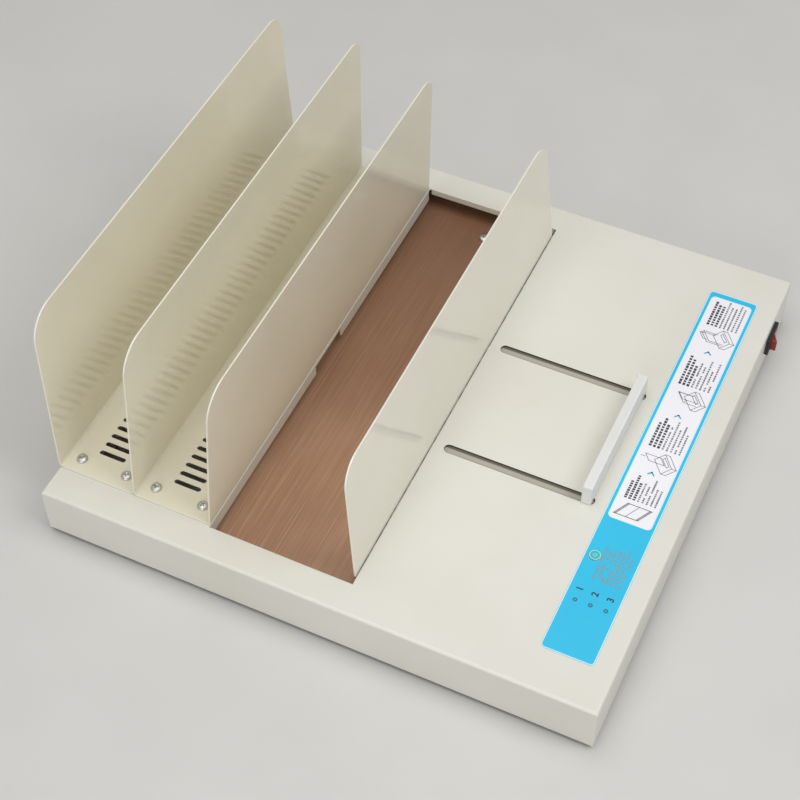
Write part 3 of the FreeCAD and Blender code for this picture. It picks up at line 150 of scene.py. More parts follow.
class Wiring:
    """A node tree being put together, for a surface or for geometry."""

    def __init__(self, tree: bpy.types.NodeTree) -> None:
        """Take the tree that gets the nodes.

        Args:
            tree: the tree to build in.
        """
        self.tree = tree

    def add(self, kind: str, inputs: dict[Any, Any] | None = None,
            **settings: Any) -> bpy.types.Node:
        """Add a node.

        Args:
            kind: the node's type.
            inputs: values or sockets, by the name or number of the input that takes them.
            settings: the node's own properties, set before its inputs.

        Returns:
            The node.
        """
        node = self.tree.nodes.new(kind)
        for name, setting in settings.items():
            setattr(node, name, setting)
        for key, given in (inputs or {}).items():
            if isinstance(given, bpy.types.NodeSocket):
                self.tree.links.new(given, node.inputs[key])
            else:
                node.inputs[key].default_value = given
        return node

    def work(self, operation: str, *terms: Any, clamp: bool = False) -> bpy.types.NodeSocket:
        """Work out a number from others.

        Args:
            operation: the sum to do.
            terms: numbers or sockets.
            clamp: whether the result is kept from 0 to 1.

        Returns:
            The socket that gives the result.
        """
        return self.add("ShaderNodeMath", dict(enumerate(terms)), operation=operation,
                        use_clamp=clamp).outputs[0]

    def blend(self, share: Any, first: Any, second: Any) -> bpy.types.NodeSocket:
        """Mix two colours.

        Args:
            share: how much of the second colour there is.
            first: the colour at a share of 0.
            second: the colour at a share of 1.

        Returns:
            The socket that gives the mixed colour.
        """
        return self.add("ShaderNodeMix", {0: share, 6: first, 7: second},
                        data_type="RGBA").outputs[2]

    def ramp(self, given: Any, low: float, high: float, out_low: float = 0.0,
             out_high: float = 1.0) -> bpy.types.NodeSocket:
        """Map a range onto another, held at its ends.

        Args:
            given: the number or socket to map.
            low: where the range starts.
            high: where it ends.
            out_low: what the start becomes.
            out_high: what the end becomes.

        Returns:
            The socket that gives the mapped number.
        """
        return self.add("ShaderNodeMapRange", {0: given, 1: low, 2: high, 3: out_low,
                                               4: out_high}).outputs[0]

    def noise(self, place: Any, scale: Any, detail: float = 2.0) -> bpy.types.NodeSocket:
        """Lay a soft random pattern.

        Args:
            place: the socket that gives the place.
            scale: patches for each metre.
            detail: how many finer layers it has.

        Returns:
            The socket that gives the pattern, around one half.
        """
        return self.add("ShaderNodeTexNoise", {"Vector": place, "Scale": scale,
                                               "Detail": detail}).outputs[0]

    def parts(self, place: Any) -> Any:
        """Split a vector into its X, Y and Z."""
        return self.add("ShaderNodeSeparateXYZ", {0: place}).outputs

    def vector(self, x: Any = 0.0, y: Any = 0.0, z: Any = 0.0) -> bpy.types.NodeSocket:
        """Join three numbers or sockets into a vector."""
        return self.add("ShaderNodeCombineXYZ", {0: x, 1: y, 2: z}).outputs[0]

    def chance(self, low: float, high: float, **given: Any) -> bpy.types.NodeSocket:
        """Draw a random number for each point.

        Args:
            low: the least that it can be.
            high: the most that it can be.
            given: the seed, and what tells the points apart where it isn't their own number.

        Returns:
            The socket that gives the number.
        """
        node = self.add("FunctionNodeRandomValue", {"Min": low, "Max": high, **given},
                        data_type="FLOAT")
        return next(socket for socket in node.outputs if socket.enabled)

    def row(self, count: Any, step: Any, start: Any = (0.0, 0.0, 0.0)) -> bpy.types.NodeSocket:
        """Lay points in a row.

        Args:
            count: the number of points.
            step: the way from each point to the next.
            start: where the first one lies.

        Returns:
            The socket that gives the points.
        """
        return self.add("GeometryNodeMeshLine", {
            "Count": count, "Start Location": start, "Offset": step}, mode="OFFSET").outputs[0]

    def copies(self, points: Any, shape: Any, **given: Any) -> bpy.types.NodeSocket:
        """Stand a copy of a shape on each point.

        Args:
            points: the socket that gives the points.
            shape: the socket that gives the shape.
            given: the copies' turn or scale.

        Returns:
            The socket that gives the copies.
        """
        return self.add("GeometryNodeInstanceOnPoints", {
            "Points": points, "Instance": shape, **given}).outputs[0]

    def close(self, end: bpy.types.Node, **given: Any) -> bpy.types.NodeTree:
        """Feed a group's outputs.

        Args:
            end: the node that takes them.
            given: the socket for each output.

        Returns:
            The finished tree.
        """
        for name, socket in given.items():
            self.tree.links.new(socket, end.inputs[name])
        return self.tree


SOCKETS = {float: "NodeSocketFloat", int: "NodeSocketInt", tuple: "NodeSocketVector"}


def open_group(name: str, kind: str, inputs: dict[str, Any],
               *outputs: str) -> tuple[Wiring, Any, bpy.types.Node]:
    """Start a node group with named inputs and outputs.

    Args:
        name: the group's name.
        kind: "Shader" or "Geometry".
        inputs: each input's default, or the kind of its socket where it has no default.
        outputs: the outputs' names.

    Returns:
        The wiring, the sockets that bring the inputs in, and the node that takes the outputs.
    """
    tree = bpy.data.node_groups.new(name, kind + "NodeTree")
    for label, default in inputs.items():
        bare = isinstance(default, str)
        item = tree.interface.new_socket(
            label, in_out="INPUT",
            socket_type="NodeSocket" + default if bare else SOCKETS[type(default)])
        if not bare:
            item.default_value = default
    for label in outputs:
        tree.interface.new_socket(
            label, in_out="OUTPUT",
            socket_type="NodeSocketGeometry" if kind == "Geometry" else "NodeSocketFloat")
    wiring = Wiring(tree)
    source = wiring.add("NodeGroupInput")
    return wiring, source.outputs, wiring.add("NodeGroupOutput")


class Effects:
    """Surface effects that several finishes share, each a group built once."""

    def __init__(self) -> None:
        """Start with no group built."""
        self.built: dict[str, bpy.types.NodeTree] = {}

    def use(self, wiring: Wiring, name: str, **inputs: Any) -> Any:
        """Place an effect in a material.

        Args:
            wiring: the material's wiring.
            name: the effect's name, which is also the name of the method that builds it.
            inputs: values or sockets for its inputs, with underscores for spaces.

        Returns:
            The effect's outputs.
        """
        if name not in self.built:
            self.built[name] = getattr(self, name)()
        given = {key.replace("_", " "): socket for key, socket in inputs.items()}
        return wiring.add("ShaderNodeGroup", given, node_tree=self.built[name]).outputs

    def skin(self) -> bpy.types.NodeTree:
        """A fine uneven skin, and a slow drift of tone across it."""
        wiring, source, end = open_group("skin", "Shader", {
            "Place": "Vector", "Grain Size": 1 * MM, "Drift Size": 100 * MM}, "Height", "Drift")
        grain = wiring.work("DIVIDE", 1.0, source["Grain Size"])
        drift = wiring.work("DIVIDE", 1.0, source["Drift Size"])
        height = wiring.noise(source["Place"], grain)
        spread = wiring.ramp(wiring.noise(source["Place"], drift, 3.0), 0.3, 0.7)
        return wiring.close(end, Height=height, Drift=spread)

    def worn_and_lit_edges(self) -> bpy.types.NodeTree:
        """Where handling has rubbed the rounded edges and a painted highlight lies on their
        crowns, broken up by a fine pattern.
        """
        wiring, source, end = open_group("worn_and_lit_edges", "Shader", {
            "Place": "Vector", "Chip Size": 4 * MM, "Amount": 0.5}, "Mask")
        edge = wiring.add("ShaderNodeAttribute", attribute_name="edge").outputs["Fac"]
        chips = wiring.noise(source["Place"], wiring.work("DIVIDE", 1.0, source["Chip Size"]))
        toned = wiring.work("MULTIPLY", edge, wiring.ramp(chips, 0.35, 0.65, 0.4, 1.0))
        mask = wiring.work("MULTIPLY", toned, source["Amount"], clamp=True)
        return wiring.close(end, Mask=mask)

    def streaks(self) -> bpy.types.NodeTree:
        """Long thin streaks along Y, as drawing or rolling leaves them."""
        wiring, source, end = open_group("streaks", "Shader", {
            "Place": "Vector", "Width": 0.5 * MM, "Length": 60 * MM}, "Streak")
        across = wiring.work("DIVIDE", 1.0, source["Width"])
        along = wiring.work("DIVIDE", 1.0, source["Length"])
        stretch = wiring.vector(across, along, across)
        place = wiring.add("ShaderNodeVectorMath", {0: source["Place"], 1: stretch},
                           operation="MULTIPLY").outputs[0]
        return wiring.close(end, Streak=wiring.noise(place, 1.0, 3.0))

    def weave(self) -> bpy.types.NodeTree:
        """A plain weave of round threads, which pass over and under each other."""
        wiring, source, end = open_group("weave", "Shader", {
            "Place": "Vector", "Pitch": 0.8 * MM}, "Height")
        parts = wiring.parts(source["Place"])
        turn = wiring.work("DIVIDE", math.pi, source["Pitch"])
        warp = wiring.work("SINE", wiring.work("MULTIPLY", parts["X"], turn))
        weft = wiring.work("SINE", wiring.work("MULTIPLY", parts["Y"], turn))
        over = wiring.work("GREATER_THAN", wiring.work("MULTIPLY", warp, weft), 0.0)
        crown = wiring.work("MULTIPLY", wiring.work("ABSOLUTE", warp), over)
        under = wiring.work("MULTIPLY", wiring.work("ABSOLUTE", weft),
                            wiring.work("SUBTRACT", 1.0, over))
        return wiring.close(end, Height=wiring.work("ADD", crown, under))

    def settled_dust(self) -> bpy.types.NodeTree:
        """A thin uneven film of dust on faces that look up."""
        wiring, source, end = open_group("settled_dust", "Shader", {
            "Place": "Vector", "Amount": 0.1}, "Mask")
        level = wiring.parts(wiring.add("ShaderNodeNewGeometry").outputs["Normal"])["Z"]
        patches = wiring.ramp(wiring.noise(source["Place"], 22.0, 5.0), 0.35, 0.75)
        lying = wiring.work("MULTIPLY", wiring.ramp(level, 0.5, 1.0), patches)
        mask = wiring.work("MULTIPLY", lying, source["Amount"], clamp=True)
        return wiring.close(end, Mask=mask)


EFFECTS = Effects()


# Finishes

@dataclass(frozen=True)
class Finish:
    """A surface finish; this plain form is a sprayed or moulded skin.

    Args:
        name: the material's name.
        light: the colour where the skin is lightest.
        deep: the colour where it is deepest.
        roughness: how matt it is.
        grain: the width of its fine unevenness.
        relief: how high that unevenness stands.
        pale_tone: the colour of rubbed edges, with the painted highlight on them.
        edge_lightening: how far the edges are lightened, by wear and by painted highlight.
        dust: how much dust lies on it.
    """

    name: str
    light: Colour
    deep: Colour
    roughness: float = 0.4
    grain: float = 1.0 * MM
    relief: float = 0.01 * MM
    pale_tone: Colour = tone(240, 240, 236)
    edge_lightening: float = 0.3
    dust: float = 0.05

    def material(self) -> bpy.types.Material:
        """Give the finish's material, made once."""
        known = bpy.data.materials.get("finish_" + self.name)
        if known is not None:
            return known
        made = bpy.data.materials.new("finish_" + self.name)
        made.use_nodes = True
        made.node_tree.nodes.clear()
        wiring = Wiring(made.node_tree)
        place = wiring.add("ShaderNodeTexCoord").outputs["Object"]
        colour, rough, height = self.surface(wiring, place)
        # rounded edges lighter: wear, and a painted highlight on their crowns
        toned = EFFECTS.use(wiring, "worn_and_lit_edges", Place=place, Amount=self.edge_lightening)["Mask"]
        colour = wiring.blend(toned, colour, self.pale_tone)
        dusty = EFFECTS.use(wiring, "settled_dust", Place=place, Amount=self.dust)["Mask"]
        colour = wiring.blend(dusty, colour, tone(196, 192, 184))
        rough = wiring.work("ADD", rough, wiring.work("MULTIPLY", dusty, 0.5), clamp=True)
        bump = wiring.add("ShaderNodeBump", {"Height": height, "Distance": self.relief})
        shader = wiring.add("ShaderNodeBsdfPrincipled", {
            "Base Color": colour, "Roughness": rough, "Normal": bump.outputs["Normal"]})
        self.polish(shader)
        wiring.add("ShaderNodeOutputMaterial", {"Surface": shader.outputs[0]})
        return made

    def surface(self, wiring: Wiring, place: Any) -> tuple[Any, Any, Any]:
        """Lay the colour, roughness and height of the finish.

        Args:
            wiring: the material's wiring.
            place: the socket that gives the place on the piece.

        Returns:
            The sockets of the colour, the roughness and the height.
        """
        skin = EFFECTS.use(wiring, "skin", Place=place, Grain_Size=self.grain)
        colour = wiring.blend(skin["Drift"], self.deep, self.light)
        rough = wiring.ramp(skin["Height"], 0.25, 0.75, self.roughness * 0.88,
                            self.roughness * 1.12)
        return colour, rough, skin["Height"]

    def polish(self, shader: bpy.types.Node) -> None:
        """Set what is the same all over the surface; a plain skin has nothing more."""


@dataclass(frozen=True)
class ShadedClampPaint(Finish):
    """Paint of the sliding clamp, greyed below the panel by painted shade.

    Args:
        shaded_below: the height under which the painted shade greys it.
        toned: the colour of that painted shade.
        fold_shade_reach: how far the dark painted shade in the fold reaches along X.
        shadowed_rows: where the rear edges of the guide slots cast a dark painted shadow line
            along X.
        shadow_width: half the width of such a line.
        shadow_tone: the colour of the painted shade in the fold and of the painted shadow lines.
    """

    shaded_below: float = 43.7 * MM
    toned: Colour = tone(184, 181, 168)
    fold_shade_reach: float = 26 * MM
    shadowed_rows: tuple[float, float] = (51.9 * MM, -46.7 * MM)
    shadow_width: float = 1.7 * MM
    shadow_tone: Colour = tone(84, 81, 73)

    def surface(self, wiring: Wiring, place: Any) -> tuple[Any, Any, Any]:
        """Lay the painted shade and the painted shadow lines over the plain form."""
        colour, rough, height = super().surface(wiring, place)
        parts = wiring.parts(place)
        # painted shade: greyer below the panel, where the clamp sits in the shadow of the gap
        share = wiring.ramp(parts["Z"], self.shaded_below - 0.2 * MM, self.shaded_below,
                            1.0, 0.0)
        colour = wiring.blend(share, colour, self.toned)
        # painted shadow lines along the rear edges of the guide slots, and painted shade in the
        # fold
        near, far = (wiring.work("ABSOLUTE", wiring.work("SUBTRACT", parts["Y"], row))
                     for row in self.shadowed_rows)
        line = wiring.ramp(wiring.work("MINIMUM", near, far), self.shadow_width * 0.3,
                           self.shadow_width, 0.85, 0.0)
        fold = wiring.ramp(parts["X"], self.fold_shade_reach - 1 * MM, self.fold_shade_reach, 1.0, 0.0)
        shadow_share = wiring.work("MULTIPLY", share, wiring.work("MAXIMUM", line, fold))
        return wiring.blend(shadow_share, colour, self.shadow_tone), rough, height


@dataclass(frozen=True)
class Metal(Finish):
    """A bare metal with streaks along Y.

    Args:
        streak: the width of one streak.
        run: the length of one streak.
    """

    streak: float = 0.3 * MM
    run: float = 40 * MM

    def surface(self, wiring: Wiring, place: Any) -> tuple[Any, Any, Any]:
        """Lay streaks over the metal; see the plain form."""
        streak = EFFECTS.use(wiring, "streaks", Place=place, Width=self.streak,
                             Length=self.run)["Streak"]
        skin = EFFECTS.use(wiring, "skin", Place=place, Grain_Size=self.grain)
        share = wiring.ramp(streak, 0.3, 0.7)
        colour = wiring.blend(share, self.deep, self.light)
        rough = wiring.work("ADD", wiring.work("MULTIPLY", skin["Drift"], 0.08),
                            wiring.ramp(streak, 0.3, 0.7, self.roughness * 0.8,
                                        self.roughness * 1.2))
        return colour, rough, wiring.work("ADD", streak, skin["Height"])

    def polish(self, shader: bpy.types.Node) -> None:
        """Make the surface metal."""
        shader.inputs["Metallic"].default_value = 1.0


@dataclass(frozen=True)
class Zinc(Metal):
    """Zinc-plated sheet with its faint frozen flakes.

    Args:
        flake: the width of one flake.
    """

    flake: float = 9 * MM

    def surface(self, wiring: Wiring, place: Any) -> tuple[Any, Any, Any]:
        """Lay flakes under the streaks; see the plain form."""
        colour, rough, height = super().surface(wiring, place)
        flakes = wiring.add("ShaderNodeTexVoronoi", {"Vector": place, "Scale": 1 / self.flake})
        shade = wiring.add("ShaderNodeSeparateColor", {0: flakes.outputs["Color"]}).outputs[0]
        colour = wiring.blend(wiring.ramp(shade, 0.0, 1.0, 0.0, 0.35), colour, self.pale_tone)
        rough = wiring.work("ADD", rough, wiring.ramp(shade, 0.0, 1.0, -0.06, 0.06), clamp=True)
        return colour, rough, height


@dataclass(frozen=True)
class Moulded(Finish):
    """Moulded plastic with a fine speckle.

    Args:
        speck: the width of one speck.
        speckle: how far the specks show.
        coat: how much clear gloss lies over it.
    """

    speck: float = 0.4 * MM
    speckle: float = 0.2
    coat: float = 0.0

    def surface(self, wiring: Wiring, place: Any) -> tuple[Any, Any, Any]:
        """Lay specks in the skin; see the plain form."""
        colour, rough, height = super().surface(wiring, place)
        specks = wiring.noise(place, 1 / self.speck, 1.0)
        shown = wiring.ramp(specks, 0.42, 0.62, 0.0, self.speckle)
        colour = wiring.blend(shown, colour, self.deep)
        return colour, rough, wiring.work("ADD", height, specks)

    def polish(self, shader: bpy.types.Node) -> None:
        """Lay the clear gloss."""
        shader.inputs["Coat Weight"].default_value = self.coat
        shader.inputs["Coat Roughness"].default_value = 0.15


@dataclass(frozen=True)
class CoatedCloth(Finish):
    """Woven glass cloth under a thin non-stick coating, with its long threads in view.

    Args:
        pitch: the distance between threads.
        thread: the colour of the lighter threads.
        rear_shade: the colour of the painted shade that darkens the cloth towards the rear.
        rear_shade_start: where it starts along Y.
        rear_shade_stop: where it is deepest.
    """

    pitch: float = 0.8 * MM
    thread: Colour = tone(220, 182, 150)
    rear_shade: Colour = tone(118, 78, 52)
    rear_shade_start: float = -185 * MM
    rear_shade_stop: float = 175 * MM

    def surface(self, wiring: Wiring, place: Any) -> tuple[Any, Any, Any]:
        """Lay the weave, its long threads and a painted shade towards the rear; see the plain
        form.
        """
        weave = EFFECTS.use(wiring, "weave", Place=place, Pitch=self.pitch)["Height"]
        fine = EFFECTS.use(wiring, "streaks", Place=place, Width=self.pitch,
                           Length=60 * MM)["Streak"]
        broad = EFFECTS.use(wiring, "streaks", Place=place, Width=5 * MM,
                            Length=500 * MM)["Streak"]
        skin = EFFECTS.use(wiring, "skin", Place=place, Grain_Size=self.grain,
                           Drift_Size=140 * MM)
        mixed = wiring.work("ADD", wiring.work("MULTIPLY", fine, 0.6),
                            wiring.work("MULTIPLY", skin["Drift"], 0.4))
        colour = wiring.blend(wiring.ramp(mixed, 0.3, 0.7), self.deep, self.light)
        picked = wiring.ramp(fine, 0.56, 0.76, 0.0, 0.6)
        colour = wiring.blend(picked, colour, self.thread)
        colour = wiring.blend(wiring.ramp(broad, 0.55, 0.75, 0.0, 0.22), colour, self.thread)
        # painted shade: the cloth darkens towards the rear
        colour = wiring.blend(wiring.ramp(wiring.parts(place)["Y"], self.rear_shade_start,
                                          self.rear_shade_stop, 0.0, 0.8), colour, self.rear_shade)
        rough = wiring.ramp(weave, 0.0, 1.0, self.roughness * 1.15, self.roughness * 0.85)
        height = wiring.work("ADD", weave, wiring.work("MULTIPLY", fine, 1.5))
        return colour, rough, height


@dataclass(frozen=True)
class Fibre(Finish):
    """Pressed fibre board with loose flecks."""

    def surface(self, wiring: Wiring, place: Any) -> tuple[Any, Any, Any]:
        """Lay short crossing fibres; see the plain form."""
        colour, rough, height = super().surface(wiring, place)
        strands = wiring.add("ShaderNodeTexWave", {
            "Vector": place, "Scale": 90.0, "Distortion": 28.0, "Detail": 3.0,
            "Detail Scale": 3.0}).outputs["Fac"]
        colour = wiring.blend(wiring.ramp(strands, 0.6, 0.95, 0.0, 0.5), colour, self.deep)
        return colour, rough, wiring.work("ADD", height, strands)


@dataclass(frozen=True)
class Lens(Finish):
    """A diffused lamp lens.

    Args:
        glow: how much light passes through it.
    """

    glow: float = 0.35

    def polish(self, shader: bpy.types.Node) -> None:
        """Let some light through."""
        shader.inputs["Transmission Weight"].default_value = self.glow
        shader.inputs["IOR"].default_value = 1.5


@dataclass(frozen=True)
class Laminate(Finish):
    """Solder-masked circuit board with traces under the mask.

    Args:
        trace: the colour over a trace.
        pitch: the width of one routed cell.
    """

    trace: Colour = tone(58, 128, 78)
    pitch: float = 3.2 * MM

    def surface(self, wiring: Wiring, place: Any) -> tuple[Any, Any, Any]:
        """Lay routed traces in the mask; see the plain form."""
        colour, rough, height = super().surface(wiring, place)
        cells = wiring.add("ShaderNodeTexBrick", {
            "Vector": place, "Scale": 1 / self.pitch, "Mortar Size": 0.14,
            "Brick Width": 1.9, "Row Height": 0.8}, offset=0.37).outputs["Fac"]
        colour = wiring.blend(wiring.work("MULTIPLY", cells, 0.8), colour, self.trace)
        return colour, rough, wiring.work("ADD", height, wiring.work("MULTIPLY", cells, 2.0))


def ink(name: str, light: Colour, deep: Colour, roughness: float = 0.42) -> Finish:
    """Give the finish of a thin layer of print.

    Args:
        name: the material's name.
        light: the colour where the ink is lightest.
        deep: the colour where it is deepest.
        roughness: how matt it is.

    Returns:
        The finish.
    """
    return Finish(name, light, deep, roughness, 0.3 * MM, 0.002 * MM, edge_lightening=0.0, dust=0.02)


WHITE_INK = ink("white_ink", tone(248, 247, 252), tone(243, 242, 249))
EDGE_INK = ink("pale_edge_ink", tone(224, 247, 254), tone(214, 243, 252))
BLUE_INK = ink("blue_ink", tone(66, 172, 202), tone(56, 160, 192))
DARK_INK = ink("dark_ink", tone(56, 62, 72), tone(42, 48, 58))
GREY_INK = ink("grey_ink", tone(126, 128, 136), tone(108, 110, 118))
FADED_INK = ink("faded_ink", tone(112, 170, 186), tone(124, 164, 174))
GREEN_INK = ink("green_ink", tone(176, 246, 182), tone(160, 238, 168))
SMOKED_INK = ink("smoked_window", tone(98, 158, 190), tone(84, 144, 178), 0.25)
RIM_INK = ink("lamp_rim_ink", tone(48, 84, 112), tone(40, 72, 98))
# the guide slots' cut edges, darkened as painted shade inside the slots
SHADED_CUT_EDGE = Finish("shaded_cut_edge", tone(92, 88, 80), tone(64, 61, 55), 0.55, 0.3 * MM,
                  0.01 * MM, edge_lightening=0.0, dust=0.0)
# the clamp's paint, with painted shade below the panel and painted shadow lines by the guide
# slots
CLAMP_PAINT = ShadedClampPaint("clamp_paint", tone(241, 238, 224), tone(236, 232, 217), 0.12,
                           1.1 * MM, 0.006 * MM, tone(248, 248, 244), 0.6, 0.02)
COPPER = Metal("enamelled_copper", tone(206, 116, 62), tone(168, 84, 40), 0.28,
               0.2 * MM, 0.005 * MM, tone(232, 160, 110), 0.2, 0.02)

FINISHES: dict[Slot, Finish] = {
    Slot.SHEET_PAINT: Finish("sheet_paint", tone(229, 228, 219), tone(223, 221, 210), 0.32,
                             1.1 * MM, 0.008 * MM, tone(244, 244, 240), 0.22, 0.04),
    # glossier than the sheet paint, and lighter as painted light for the bounce from the panel
    # top
    Slot.PLATE_PAINT: Finish("plate_paint", tone(240, 235, 216), tone(234, 228, 207), 0.1,
                             1.1 * MM, 0.006 * MM, tone(248, 248, 244), 0.6, 0.02),
    Slot.ZINC_SHEET: Zinc("zinc_sheet", tone(198, 200, 202), tone(170, 173, 176), 0.32,
                          0.8 * MM, 0.006 * MM, tone(222, 224, 226), 0.4, 0.08),
    Slot.SCREW_STEEL: Metal("screw_steel", tone(230, 230, 227), tone(204, 204, 201), 0.36,
                            0.3 * MM, 0.004 * MM, tone(236, 236, 234), 0.5, 0.05,
                            0.2 * MM, 3 * MM),
    Slot.PLATEN_ALUMINIUM: Metal("platen_aluminium", tone(208, 210, 212), tone(184, 187, 190),
                                 0.30, 0.4 * MM, 0.006 * MM, tone(228, 230, 232), 0.4, 0.05),
    Slot.BROWN_CLOTH: CoatedCloth("brown_cloth", tone(212, 168, 136), tone(180, 136, 106), 0.42,
                                  0.9 * MM, 0.05 * MM, tone(170, 130, 106), 0.4, 0.04),
    Slot.HEATER_FOIL: Moulded("heater_foil", tone(186, 120, 52), tone(154, 92, 36), 0.3,
                              0.7 * MM, 0.01 * MM, tone(206, 150, 86), 0.2, 0.02),
    Slot.INSULATION: Fibre("insulation", tone(232, 226, 210), tone(196, 188, 168), 0.85,
                           0.9 * MM, 0.15 * MM, tone(240, 236, 224), 0.4, 0.0),
    Slot.CERAMIC: Moulded("ceramic", tone(238, 234, 222), tone(222, 216, 200), 0.55,
                          0.3 * MM, 0.01 * MM, tone(246, 244, 238), 0.3, 0.03),
    Slot.WHITE_PLASTIC: Moulded("white_plastic", tone(240, 240, 237), tone(222, 222, 219),
                                0.42, 0.5 * MM, 0.03 * MM, tone(250, 250, 248), 0.5, 0.02,
                                0.45 * MM, 0.3),
    Slot.NATURAL_NYLON: Moulded("natural_nylon", tone(232, 228, 212), tone(214, 208, 190),
                                0.45, 0.5 * MM, 0.01 * MM, tone(242, 240, 230), 0.3, 0.02),
    Slot.RUBBER: Moulded("rubber", tone(52, 52, 53), tone(34, 34, 35), 0.75, 0.4 * MM,
                         0.04 * MM, tone(86, 86, 86), 0.5, 0.25),
    Slot.PANEL_FILM: Finish("panel_film", tone(46, 198, 240), tone(40, 190, 234), 0.36,
                            0.35 * MM, 0.003 * MM, tone(214, 243, 252), 0.8, 0.02),
    Slot.KEY_FILM: Finish("key_film", tone(62, 186, 216), tone(54, 176, 208), 0.35,
                          0.35 * MM, 0.003 * MM, tone(120, 210, 220), 0.4, 0.02),
    Slot.LAMP_LENS: Lens("lamp_lens", tone(196, 66, 52), tone(168, 40, 34), 0.25,
                         0.3 * MM, 0.004 * MM, tone(226, 120, 100), 0.2, 0.02),
    Slot.BOARD_LAMINATE: Laminate("board_laminate", tone(40, 104, 60), tone(30, 88, 50), 0.3,
                                  0.5 * MM, 0.01 * MM, tone(196, 186, 130), 0.7, 0.03),
    Slot.BLACK_PLASTIC: Moulded("black_plastic", tone(38, 38, 40), tone(26, 26, 28), 0.36,
                                0.4 * MM, 0.012 * MM, tone(84, 84, 86), 0.4, 0.06,
                                0.3 * MM, 0.3),
    Slot.RED_PLASTIC: Moulded("red_plastic", tone(150, 20, 38), tone(116, 10, 26), 0.22,
                              0.5 * MM, 0.004 * MM, tone(206, 84, 92), 0.4, 0.03,
                              0.5 * MM, 0.2, 0.4),
    Slot.CONTACT_BRASS: Metal("contact_brass", tone(222, 200, 140), tone(196, 170, 104), 0.25,
                              0.3 * MM, 0.004 * MM, tone(240, 226, 184), 0.4, 0.03),
    Slot.CORE_STEEL: Metal("core_steel", tone(92, 94, 98), tone(66, 68, 72), 0.42,
                           0.3 * MM, 0.008 * MM, tone(150, 152, 156), 0.5, 0.08),
    Slot.TERMINAL_GREEN: Moulded("terminal_green", tone(60, 150, 84), tone(44, 128, 68), 0.4,
                                 0.4 * MM, 0.01 * MM, tone(120, 190, 140), 0.3, 0.05),
    Slot.CAPACITOR_SLEEVE: Moulded("capacitor_sleeve", tone(38, 48, 92), tone(28, 36, 74), 0.3,
                                   0.6 * MM, 0.006 * MM, tone(96, 104, 140), 0.4, 0.04),
}


# Pieces

def settle(piece: bpy.types.Object, body: Body, slot: Slot, *nodes: str) -> bpy.types.Object:
    """Let a finished piece ride on its body, and report it.

    Args:
        piece: the piece, in its place.
        body: the body that it moves with.
        slot: the record's slot for its finish; not used.
        nodes: the CAD nodes that it stands for.

    Returns:
        The piece.
    """
    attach(piece, body.value)
    if nodes:
        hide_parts(*nodes)
    LOG.info("%s: %d faces on %s%s", piece.name, len(piece.data.polygons), body.value,
             ", for " + ", ".join(nodes) if nodes else "")
    return piece


def dress(node: str, slot: Slot) -> None:
    """Give a CAD node its finish and leave its shape as it is.

    Args:
        node: the node's name.
        slot: the slot whose finish it takes.
    """
    mesh = FRAME["nodes"][node].data
    mesh.materials.clear()
    mesh.materials.append(FINISHES[slot].material())
    LOG.info("%s: the CAD shape in %s", node, slot.value)


def stand(name: str, data: bpy.types.ID) -> bpy.types.Object:
    """Put a mesh, a curve, a light or a camera into the scene."""
    thing = bpy.data.objects.new(name, data)
    bpy.context.scene.collection.objects.link(thing)
    return thing


def middle_of(node: str) -> Vector:
    """Give the middle of a CAD node's box."""
    low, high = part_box(node)
    return (low + high) / 2


def add_piece(name: str, mesh: bpy.types.Mesh, finish: Finish,
              smooth: bool = True) -> bpy.types.Object:
    """Put a mesh into the scene as a piece.

    Args:
        name: the piece's name.
        mesh: its mesh, with its place in it.
        finish: what its surface is made of.
        smooth: whether it is shaded smooth but for its sharp edges.

    Returns:
        The piece.
    """
    mesh.materials.clear()
    mesh.materials.append(finish.material())
    if smooth:
        mesh.shade_smooth()
        mesh.set_sharp_from_angle(angle=CREASE)
    else:
        mesh.shade_flat()
    return stand(name, mesh)


def evaluated(piece: bpy.types.Object) -> bpy.types.Mesh:
    """Give the mesh that a piece's modifiers make, and take the piece away.

    Args:
        piece: an object in the scene with its modifiers set.

    Returns:
        The finished plain mesh.
    """
    bpy.context.view_layer.update()
    graph = bpy.context.evaluated_depsgraph_get()
    mesh = bpy.data.meshes.new_from_object(piece.evaluated_get(graph))
    bpy.data.objects.remove(piece)
    return mesh


def as_mesh(name: str, shell: bmesh.types.BMesh) -> bpy.types.Mesh:
    """Turn a shell under construction into a plain mesh, and let the shell go."""
    mesh = bpy.data.meshes.new(name)
    shell.to_mesh(mesh)
    shell.free()
    return mesh


